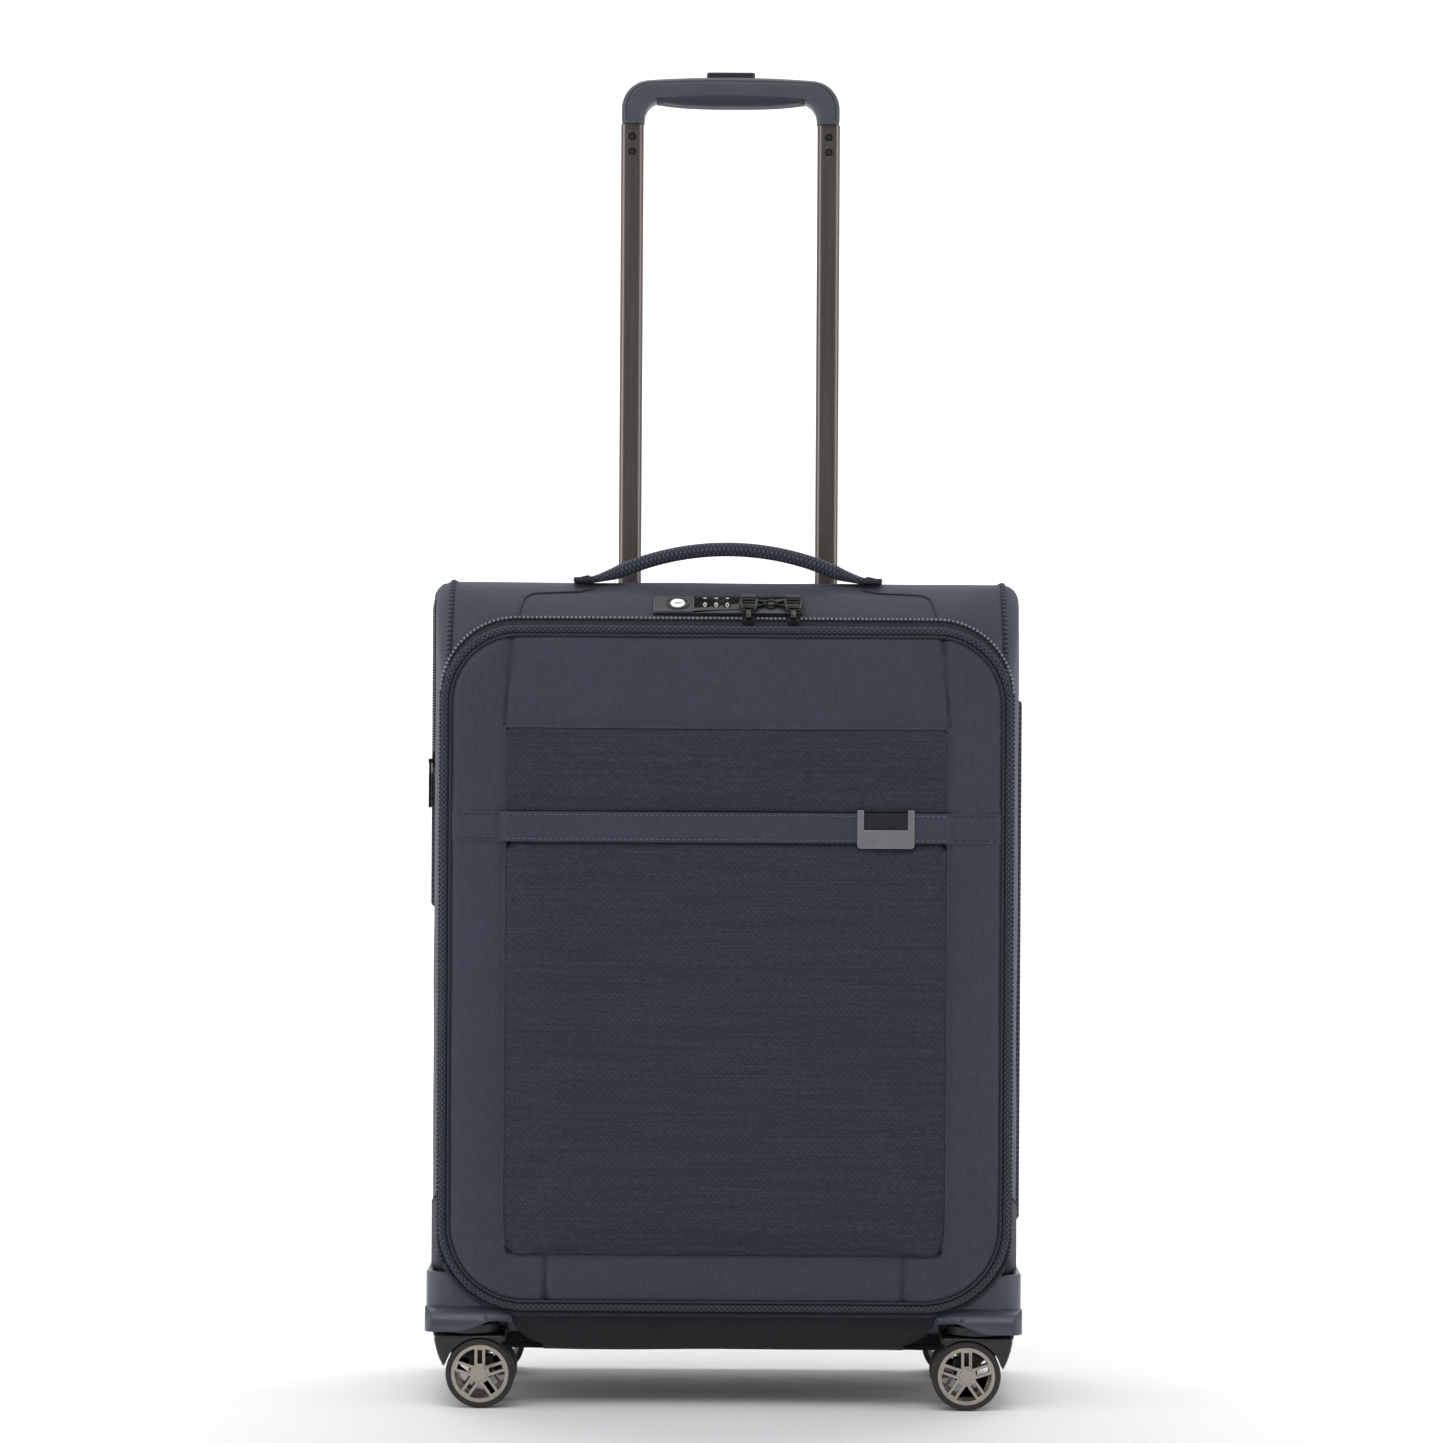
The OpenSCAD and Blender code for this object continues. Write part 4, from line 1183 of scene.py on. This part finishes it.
def guard_lip():
    """The bulged lower edge of each front guard, which arches up over its wheel."""
    rings = []
    for i in range(49):
        x = -199.2 + 58.2 * i / 48
        start = min(max((x + 199.5) / 7, 0), 1)
        end = min(max((-140.5 - x) / 12, 0), 1)
        reach = math.sqrt(1 - (1 - start) ** 2) * math.sqrt(1 - (1 - end) ** 2)
        t = min(max((x + 178) / 30, 0), 1)
        foot = 50.6 + 8.6 * t * t * (3 - 2 * t)
        profile = [
            (8.6, foot + 0.3), (9.4, foot), (10.3, foot + 0.7), (10.7, foot + 2),
            (10.6, max(57, foot + 2.6)), (9.6, 59.6), (7.8, 62), (5.2, 64.2), (1.6, 66.2),
            (-1.5, 66.8), (-1.5, 61.8), (4, 61.4), (8, 60), (9, max(57.4, foot + 1.2)),
        ]
        rings.append([(x, HOUSING_FACE_Y - max(out * reach, min(out, 0)), z) for out, z in profile])
    form = Form().add(loft(rings))
    form.both_sides().piece("guard_lips", "housing_plastic", "case", crease=50)


guard_lip()


def fender(corner, low, high, way):
    """The bulky hood that hugs the outer upper side of a twin wheel; way is the side it turns to."""
    centre, r = (low + high) / 2, (high.z - low.z) / 2
    hood = [
        (-24.7, 4.5), (-27.4, 10), (-29.4, 16), (-30.8, 22.2), (-30.2, 25.1), (15.5, 25.1), (17.2, 23.6),
        (16.6, 21.4),
    ]
    gap = r + 0.9
    arch = (math.radians(a) for a in range(56, 170, 6))
    hood += [(gap * math.cos(a), gap * math.sin(a)) for a in arch]
    middle = Vector((-8, 22))
    rings = []
    width = high.y - low.y - 3
    rounding = [(-0.5, 1.6), (-0.485, 0.7), (-0.45, 0.1), (-0.4, 0)]
    for y, inset in rounding + [(-y, inset) for y, inset in rounding[::-1]]:
        ring = []
        for x, z in hood:
            inward = (middle - Vector((x, z))).normalized() * inset
            keep = math.hypot(x, z) < gap + 0.1
            px, pz = (x, z) if keep else (x + inward.x, z + inward.y)
            ring.append((centre.x - way * px, centre.y + y * width, centre.z + pz))
        rings.append(ring)
    Form().add(loft(rings)).piece("fender_" + corner, "black_plastic", "caster_" + corner, crease=50)


def caster(corner):
    """One twin-wheel caster: fork, rims, hood and treaded tyres."""
    refined("fork_" + corner + "_body", "fork_" + corner, "black_plastic", "caster_" + corner, 0.7, 2)
    refined("rims_" + corner + "_cast", "rims_" + corner, "rim_nickel", "wheel_" + corner, 0.35, 2)
    low, high = box("tyres_" + corner)
    centre = (low + high) / 2
    r = (high.z - low.z) / 2
    form = Form()
    for side in (-1, 1):
        y = centre.y + side * ((high.y - low.y) / 2 - 7.5)
        form.add(lathe([(r + dr, dy) for dr, dy in TYRE_PROFILE]), at(centre.x, y, centre.z))
    fender(corner, low, high, -1 if centre.x < 0 else 1)
    obj = form.piece("tyres_" + corner + "_tread", "tyre_rubber", "wheel_" + corner)
    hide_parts("tyres_" + corner)


CORNERS = ("front_left", "front_right", "rear_left", "rear_right")
for corner in CORNERS:
    caster(corner)


# ---------- telescopic handle ----------


def grip_contours():
    """The grip's outer and inner edges from the foot of one leg to the middle, as (x, z) pairs."""
    half, top, foot = grip_high.x, grip_high.z, TUBE_TOP
    outer_r, inner_r, arch_r, leg_w, bar, drop = 20, 13, 815, 16, 16.8, 2.0
    level = top - drop - outer_r
    outer = [Vector((half, foot + (level - foot) * i / 5)) for i in range(6)]
    for i in range(1, 13):
        a = math.radians(85.5 * i / 12)
        outer.append(Vector((half - outer_r + outer_r * math.cos(a), level + outer_r * math.sin(a))))
    reach = outer[-1].x
    for i in range(1, 21):
        x = reach * (1 - i / 20)
        outer.append(Vector((x, top - arch_r + math.sqrt(arch_r**2 - x * x))))
    inner_half, ceiling = half - leg_w, top - bar
    inner = [Vector((inner_half, foot + (ceiling - inner_r - foot) * i / 5)) for i in range(6)]
    for i in range(1, 17):
        a = math.radians(90 * i / 16)
        round_corner = inner_r * Vector((math.cos(a) - 1, math.sin(a) - 1))
        inner.append(Vector((inner_half, ceiling)) + round_corner)
    inner += [Vector(((inner_half - inner_r) * (1 - i / 16), ceiling)) for i in range(1, 17)]
    return list(zip(outer[:6], inner[:6])), outer[5:], inner[5:]


def even(path, count):
    """count + 1 points at equal steps along a flat path."""
    path = [p.to_3d() for p in path]
    total = sum((b - a).length for a, b in zip(path, path[1:]))
    return [p.to_2d() for p in resample(path, total / (count + 0.5))]


def grip():
    """The moulded grip, swept round its own contours, with a parting line."""
    leg, outer, inner = grip_contours()
    pairs = leg + list(zip(even(outer, 40), even(inner, 40)))[1:]
    depth = grip_high.y - grip_low.y
    mid_y = (grip_high.y + grip_low.y) / 2
    stations = pairs + [(Vector((-o.x, o.y)), Vector((-i.x, i.y))) for o, i in pairs[-2::-1]]
    rings = []
    for k, (o, i) in enumerate(stations):
        mid, along = (o + i) / 2, (o - i)
        size = along.length
        along.normalize()
        inset = 0.9 if k in (0, len(stations) - 1) else 0
        section_ring = rounded_rect(size - inset, depth - inset, 5.4, 6)
        rings.append([(mid.x + along.x * a, mid_y + b, mid.y + along.y * a) for a, b in section_ring])
    obj = Form().add(loft(rings)).piece("grip_shell", "grip_plastic", "trolley")
    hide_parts("handle_grip")
    line = Form()
    for s in (-1, 1):
        path = []
        for o, i in stations[1:-1]:
            along = (o - i).normalized()
            path.append((o.x - along.x * 3.1, mid_y + s * (depth / 2 - 0.52), o.y - along.y * 3.1))
        line.add(tube(path, 0.4, 6))
    line.piece("grip_parting_line", "black_plastic", "trolley")


grip()


def grip_pad():
    """The foam pad below the grip, with a notch along its top for the release yoke."""
    low, high = box("grip_pad")
    half, mid_y = high.x, (low.y + high.y) / 2
    ends_z, deep = grip_high.z - 17.4, grip_high.y - grip_low.y + 0.7
    rings = []
    for i in range(81):
        u = math.sin(math.pi * (i / 80 - 0.5))
        fall = 1 - abs(u) ** 3
        bottom, top = ends_z - 3.4 * fall, ends_z + 0.8 + 5.6 * fall
        wide = deep - 3 * abs(u) ** 6
        ring = rounded_rect(wide, top - bottom, min((top - bottom) / 2, 4.6), 6)
        room, rim = wide / 2 - 5.2, (top - bottom) / 2
        floor = min(ends_z - 1 - (top + bottom) / 2, rim - 0.1)
        ring[7:7] = [(room, rim), (room, floor), (-room, floor), (-room, rim)]
        rings.append([(half * u, mid_y + a, (top + bottom) / 2 + b) for a, b in ring])
    obj = Form().add(loft(rings)).piece("grip_cushion", "grip_foam", "trolley")
    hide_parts("grip_pad")


grip_pad()

refined("tubes_inner", "inner_tubes", "tube_metal", "trolley", 0.2, 2)
refined("grip_screw_heads", "grip_screws", "dark_metal", "trolley", 0.5, 3)
refined("grip_button", "release_button", "black_plastic", "release", 1.2, 3)
refined("bezel", "handle_bezel", "black_plastic", "case", 0.7, 3)


def screw_sockets():
    """Black hexagons on the heads of the grip's four screws: painted shade for their hexagonal sockets,
    which are not cut.
    """
    low, high = box("grip_screws")
    form = Form()
    for x in (low.x + 2.7, high.x - 2.7):
        for z in (low.z + 2.7, high.z - 2.7):
            rings = [
                [(x + a, y, z + b) for a, b in ellipse(1.8, 1.8, 6)] for y in (low.y - 0.04, low.y + 1)
            ]
            form.add(loft(rings))
    # painted shade: black plastic stands in for the dark inside of each socket
    form.piece("screw_sockets", "black_plastic", "trolley", crease=20)


screw_sockets()


# ---------- carry handle ----------


def carry_handle():
    """The padded carry handle: an arched grip whose flat ends lie on the top panel."""
    thick, wide, half, r = 9, carry_high.y - carry_low.y, 92, 183
    y = (carry_low.y + carry_high.y) / 2
    centre = carry_high.z - r - thick / 2
    end = math.asin(half / r)
    path = [(r * math.sin(a), centre + r * math.cos(a)) for a in (end * (i / 40 - 1) for i in range(81))]
    path = [Vector((x, y, z)) for x, z in path if z > CASE_TOP + 5.5]
    flat_end = ((86, 2, 3.0), (91, 4, 1.8), (97, 5, 1.4), (104, 5, 1.2))
    tail = [Vector((x, y - dy, CASE_TOP + dz)) for x, dy, dz in flat_end]
    path = [Vector((-p.x, p.y, p.z)) for p in tail[::-1]] + path + tail
    path = resample(path, 3)
    rings = []
    for p, t, n, s in frames_along(path, False):
        near_end = min(max(96 - abs(p.x), 0) / 26, 1)
        ease = near_end * near_end * (3 - 2 * near_end)
        ring = rounded_rect(wide - 2 * (1 - ease), 3.8 + (thick - 3.8) * ease, 4.4, 5)
        rings.append([p + n * a + s * b for a, b in ring])
    obj = Form().add(loft(rings)).piece("carry_handle_wrap", "handle_weave", "carry")
    thread = Form()
    for side in (-1, 1):
        middle = [q for q in frames_along(path, False) if abs(q[0].x) < 72]
        edge = [p + n * side * (wide / 2 - 3.4) + s * (-thick / 2 + 0.12) for p, _, n, s in middle]
        stitches(thread, edge, lambda p: Vector((p.x, 0, p.z - centre)))
    thread.piece("carry_handle_stitches", "dark_thread", "carry")
    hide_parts("carry_handle")
    obj.parent = None
    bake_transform(obj)


carry_handle()


def carry_loops():
    """Flat wire loops that the ends of the handle run through."""
    low, high = box("handle_anchors")
    form = Form()
    for side in (-1, 1):
        ring = []
        for a, b in rounded_rect(9.5, high.y - low.y - 2, 2.5, 6):
            ring.append((side * (high.x - 7) + a, (low.y + high.y) / 2 + b, low.z + 2.4 - side * 0.24 * a))
        form.add(tube(ring, 0.9, 10, closed=True, first=(0, 0, 1)))
    obj = form.piece("carry_loops", "dark_metal", "case")
    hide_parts("handle_anchors")


carry_loops()


# ---------- lock, sliders and pullers ----------

key_axis = Vector(JOINTS["key_turn"]["axis"])
key_pos = Vector(JOINTS["key_turn"]["pos_m"]) / MM
LOCK = at(0, key_pos.y, key_pos.z) @ turned(math.degrees(math.atan2(-key_axis.y, key_axis.z)), "X")
DIAL_R = 5.6

refined("lock_case", "lock_housing", "lock_body", "case", 0.35, 2)
refined("lock_key_disc", "key_cylinder", "key_metal", "key", 0.35, 2)
refined("lock_push", "lock_button", "dark_metal", "lock_release", 0.7, 3)


def dial_numbers(k, place):
    """The digits 0 to 9 round dial k, as flat raised print."""
    form = Form()
    for digit in range(10):
        curve = bpy.data.curves.new("digit", "FONT")
        curve.body = str(digit)
        curve.size = 4.8
        curve.extrude = 0.08
        curve.resolution_u = 3
        curve.align_x, curve.align_y = "CENTER", "CENTER"
        text = bpy.data.objects.new("digit", curve)
        mesh = bpy.data.meshes.new_from_object(text)
        points = [v.co.copy() for v in mesh.vertices]
        faces = [tuple(p.vertices) for p in mesh.polygons]
        on_rim = place @ turned(digit * 36 + 12, "X") @ at(0, 0, DIAL_R + 0.04)
        form.add((points, faces, [(0, 0)] * sum(map(len, faces))), on_rim)
        bpy.data.objects.remove(text)
        bpy.data.curves.remove(curve)
        bpy.data.meshes.remove(mesh)
    form.piece(f"dial_{k}_numbers", "number_paint", f"dial_{k}", crease=20)


def lock_details():
    """The three dials, and the plain marks, ring and wings on the face of the lock."""
    marks, ticks = Form(), Form()
    for k in (1, 2, 3):
        axle = Vector(JOINTS[f"dial_{k}_turn"]["pos_m"]) / MM
        x, z = axle.x, (LOCK.inverted() @ axle).z
        refined(f"dial_{k}_wheel", f"lock_dial_{k}", "dial_plastic", f"dial_{k}", 0.15, 2)
        dial_numbers(k, LOCK @ at(x, 0, z))
        ticks.add(block(2.2, 0.9, 0.3, 0.1, n=1), LOCK @ at(x, 7.3, 1.25))
    for x in (-48.9, -22.9):
        marks.add(block(0.5, 15, 0.4, 0.1, n=1), LOCK @ at(x, 0, 1.3))
    marks.piece("lock_marks", "mark_paint", "case")
    ticks.piece("lock_ticks", "number_paint", "case")
    ring = [(a, b, 0.9) for a, b in ellipse(7.4, 6.1, 40)]
    form = Form().add(tube(ring, 0.55, 8, closed=True, first=(0, 0, 1)), LOCK @ at(-33.6, 0, 1.15))
    form.piece("lock_key_ring", "lock_body", "case")
    wings = Form()
    for side in (-1, 1):
        for turn in (-24, 24):
            place = LOCK @ at(29 + side * 6.4, turn / 11, 2.2)
            wings.add(block(7.4, 1.6, 1.8, 0.6), place @ turned(turn * side, "Z"))
    ring = [(29 + a, b, 1.9) for a, b in ellipse(4.1, 4.1, 32)]
    wings.add(tube(ring, 0.7, 8, closed=True, first=(0, 0, 1)), LOCK)
    wings.piece("lock_bow", "dark_metal", "case")


lock_details()


def zip_puller(side):
    """An open, flared puller that hangs from its slider's bail and lies on the lock."""
    low, high = box("main_puller_" + side)
    x = (low.x + high.x) / 2
    form = Form()
    frame_path = [(x + a * (1.22 + b / 40), -4.4 + b, 4.0) for a, b in rounded_rect(8.2, 13, 2.6, 6)]
    form.add(tube(frame_path, 1.05, 10, closed=True, first=(0, 0, 1)), LOCK)
    for level, width in ((-7.2, 8.4), (-1.2, 9.4)):
        form.add(block(width, 1.5, 1.4, 0.5), LOCK @ at(x, level, 4.0))
    form.add(block(3.6, 8.6, 1.5, 0.6), LOCK @ at(x, -14.4, 4.0))
    form.add(block(5, 2.5, 2.5, 1.1), LOCK @ at(x, -18.6, 4.02))
    obj = form.piece(f"zip_puller_{side}_tab", "dark_metal", "zip_puller_" + side)
    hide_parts("main_puller_" + side)


for side in ("left", "right"):
    refined(f"zip_slider_{side}_body", f"main_slider_{side}", "dark_metal", f"zip_slider_{side}", 0.25, 2)
    zip_puller(side)
refined("side_zip_slider_body", "side_slider", "dark_metal", "side_zip_slider", 0.3, 2)
refined("side_zip_puller_tab", "side_puller", "dark_metal", "side_zip_puller", 0.3, 2)


# ---------- back board and inside ----------


def back_board():
    """The padded cloth cover of the back board, with its two sewn lines."""
    half, low, high = back_high.x, back_low.z + 1.8, back_high.z
    r = CASE_R - WALL

    def surface(x, z):
        d = max(edge_distance(x, z, half, low, high, r, r), 0)
        seam = min(abs(abs(x) - 120), d - 9 if d > 9 else 9 - d)
        return BACK_Y - 0.2 - 0.9 * math.exp(-((seam / 1.6) ** 2)) - rolled_off(d, 3) * 0.5

    form = Form().add(cushion(half, low, high, r, r, surface, BACK_Y - 4, 190, 3))
    obj = form.piece("back_board_cover", "back_fabric", "case", crease=60)
    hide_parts("back_panel")
    thread = Form()
    for x in (-117, -123, 117, 123):
        line = [(x, BACK_Y - 0.25, z) for z in (low + 14, high - 14)]
        stitches(thread, line, lambda p: (0, 1, 0), 3, 1.6)
    thread.piece("back_stitches", "dark_thread", "case")


back_board()


def lining():
    """The inside cloth, raised over the wheel housings and the front of the base."""
    inset = WALL + 0.4
    floor, deep_half, deep_y = 65, 114, RIM_Y + 36
    rings = []
    for i in range(32):
        y = RIM_Y + 3 + (LINING_BACK - RIM_Y - 3) * i / 31
        ring = []
        for p in shell_ring(y, -inset, corner=8, across=60, up=44):
            x, z = p.x, p.z
            if z < floor and (abs(x) > deep_half or y < deep_y):
                z = floor
            ring.append((x, y, z))
        rings.append(ring)
    points, faces, uvs = loft(rings, caps=False)
    n = len(rings[0])
    faces.append(tuple(31 * n + j for j in range(n))[::-1])
    uvs += [(0, 0)] * n
    form = Form().add((points, faces, uvs))
    form.points = [p + Vector((ripple(p, 26, 0.3), 0, ripple(p, 31, 0.3))) for p in form.points]
    obj = thicken(form.piece("lining_cloth", "lining_fabric", "case", outward=False), 0.9)
    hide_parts("lining")


lining()


def tie_straps():
    """The two straps inside, each with its side-release buckle."""
    low, high = box("tie_straps")
    web, buckle = Form(), Form()
    for x in (low.x + 17, high.x - 17):
        path = []
        for i in range(41):
            sag = 1.2 * math.sin(math.pi * i / 40) - ripple((x, 0, i * 9), 40, 0.3)
            path.append((x, high.y - 1.2 - sag, low.z + (high.z - low.z) * i / 40))
        rings = [
            [p + n * a + s * b for a, b in rounded_rect(25, 1.4, 0.5, 2)]
            for p, t, n, s in frames_along(path, False, (1, 0, 0))
        ]
        web.add(loft(rings))
        y = low.y + 4
        buckle.add(block(30, 26, 7, 2, 5), at(x, y, 304) @ turned(90, "X"))
        buckle.add(block(31, 9, 6, 1.5, 3), at(x, y, 276) @ turned(90, "X"))
        for dx in (-12.5, 12.5):
            buckle.add(block(4, 18, 5, 1.2, 1.8), at(x + dx, y, 287) @ turned(90, "X"))
        buckle.add(block(6, 18, 4, 1, 1.5), at(x, y, 287) @ turned(90, "X"))
    obj = web.piece("tie_webbing", "zip", "case")
    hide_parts("tie_straps")
    buckle.piece("tie_buckles", "black_plastic", "case")


tie_straps()


# ---------- CAD nodes that stay ----------

KEPT = {
    "swivel_pins": "steel", "outer_tubes": "tube_metal", "tube_foot": "black_plastic",
    "latch_rods": "steel", "latch_pins": "steel",
}
KEPT.update({"axle_" + corner: "steel" for corner in CORNERS})
for node, material in KEPT.items():
    for slot in frame["nodes"][node].material_slots:
        slot.material = MATERIALS[material]


# ---------- stage, light and camera ----------


def stage():
    """A pale floor that curves up into a wall."""
    r = 1500
    curve = [math.radians(a) for a in range(10, 91, 10)]
    profile = [(-5000, 0), (r, 0)] + [(r + r * math.sin(a), r * (1 - math.cos(a))) for a in curve]
    profile.append((2 * r, 5000))
    rings = [[(x, y, z) for y, z in profile] for x in (-6000, 6000)]
    points, faces, _ = loft(rings, ring_closed=False, caps=False)
    mesh = bpy.data.meshes.new("floor")
    mesh.from_pydata([p * MM for p in points], [], faces)
    mesh.shade_smooth()
    floor = bpy.data.objects.new("floor", mesh)
    bpy.context.scene.collection.objects.link(floor)
    paper = Recipe("floor_paper", (250, 250, 250), 0.9)
    paper.tint(paper.noise(900), 0.004)
    mesh.materials.append(paper.material)


stage()


def softbox(name, place, aim, size, watts):
    """A rectangular area light at place, turned to aim."""
    light = bpy.data.lights.new(name, "AREA")
    light.shape = "RECTANGLE"
    light.size, light.size_y = size
    light.energy = watts
    obj = bpy.data.objects.new(name, light)
    obj.location = place
    obj.rotation_euler = (Vector(aim) - Vector(place)).to_track_quat("-Z", "Y").to_euler()
    bpy.context.scene.collection.objects.link(obj)


softbox("light_top", (-0.3, -1.6, 3.0), (0, 0, 0.4), (2.6, 2.0), 34)
softbox("light_left", (-2.6, -0.5, 1.0), (0, 0, 0.5), (1.6, 2.4), 24)
softbox("light_right", (2.6, -0.4, 1.0), (0, 0, 0.5), (1.6, 2.4), 20)
softbox("light_wall", (0, 1.2, 3.4), (0, 3.0, 1.0), (4, 1.2), 90)

world = bpy.data.worlds.new("studio")
world.use_nodes = True
backdrop = world.node_tree.nodes["Background"].inputs
backdrop["Color"].default_value = (0.92, 0.95, 1.0, 1)
backdrop["Strength"].default_value = 0.36
bpy.context.scene.world = world

camera = bpy.data.cameras.new("camera")
camera.sensor_width = 36
camera.lens = 108.6
view = bpy.data.objects.new("camera", camera)
view.location = (0.0, FACE_Y * MM - 2.9, 0.458)
view.rotation_euler = (math.radians(90), math.radians(-0.35), math.radians(0.06))
bpy.context.scene.collection.objects.link(view)
bpy.context.scene.camera = view

bpy.context.scene.view_settings.view_transform = "Standard"
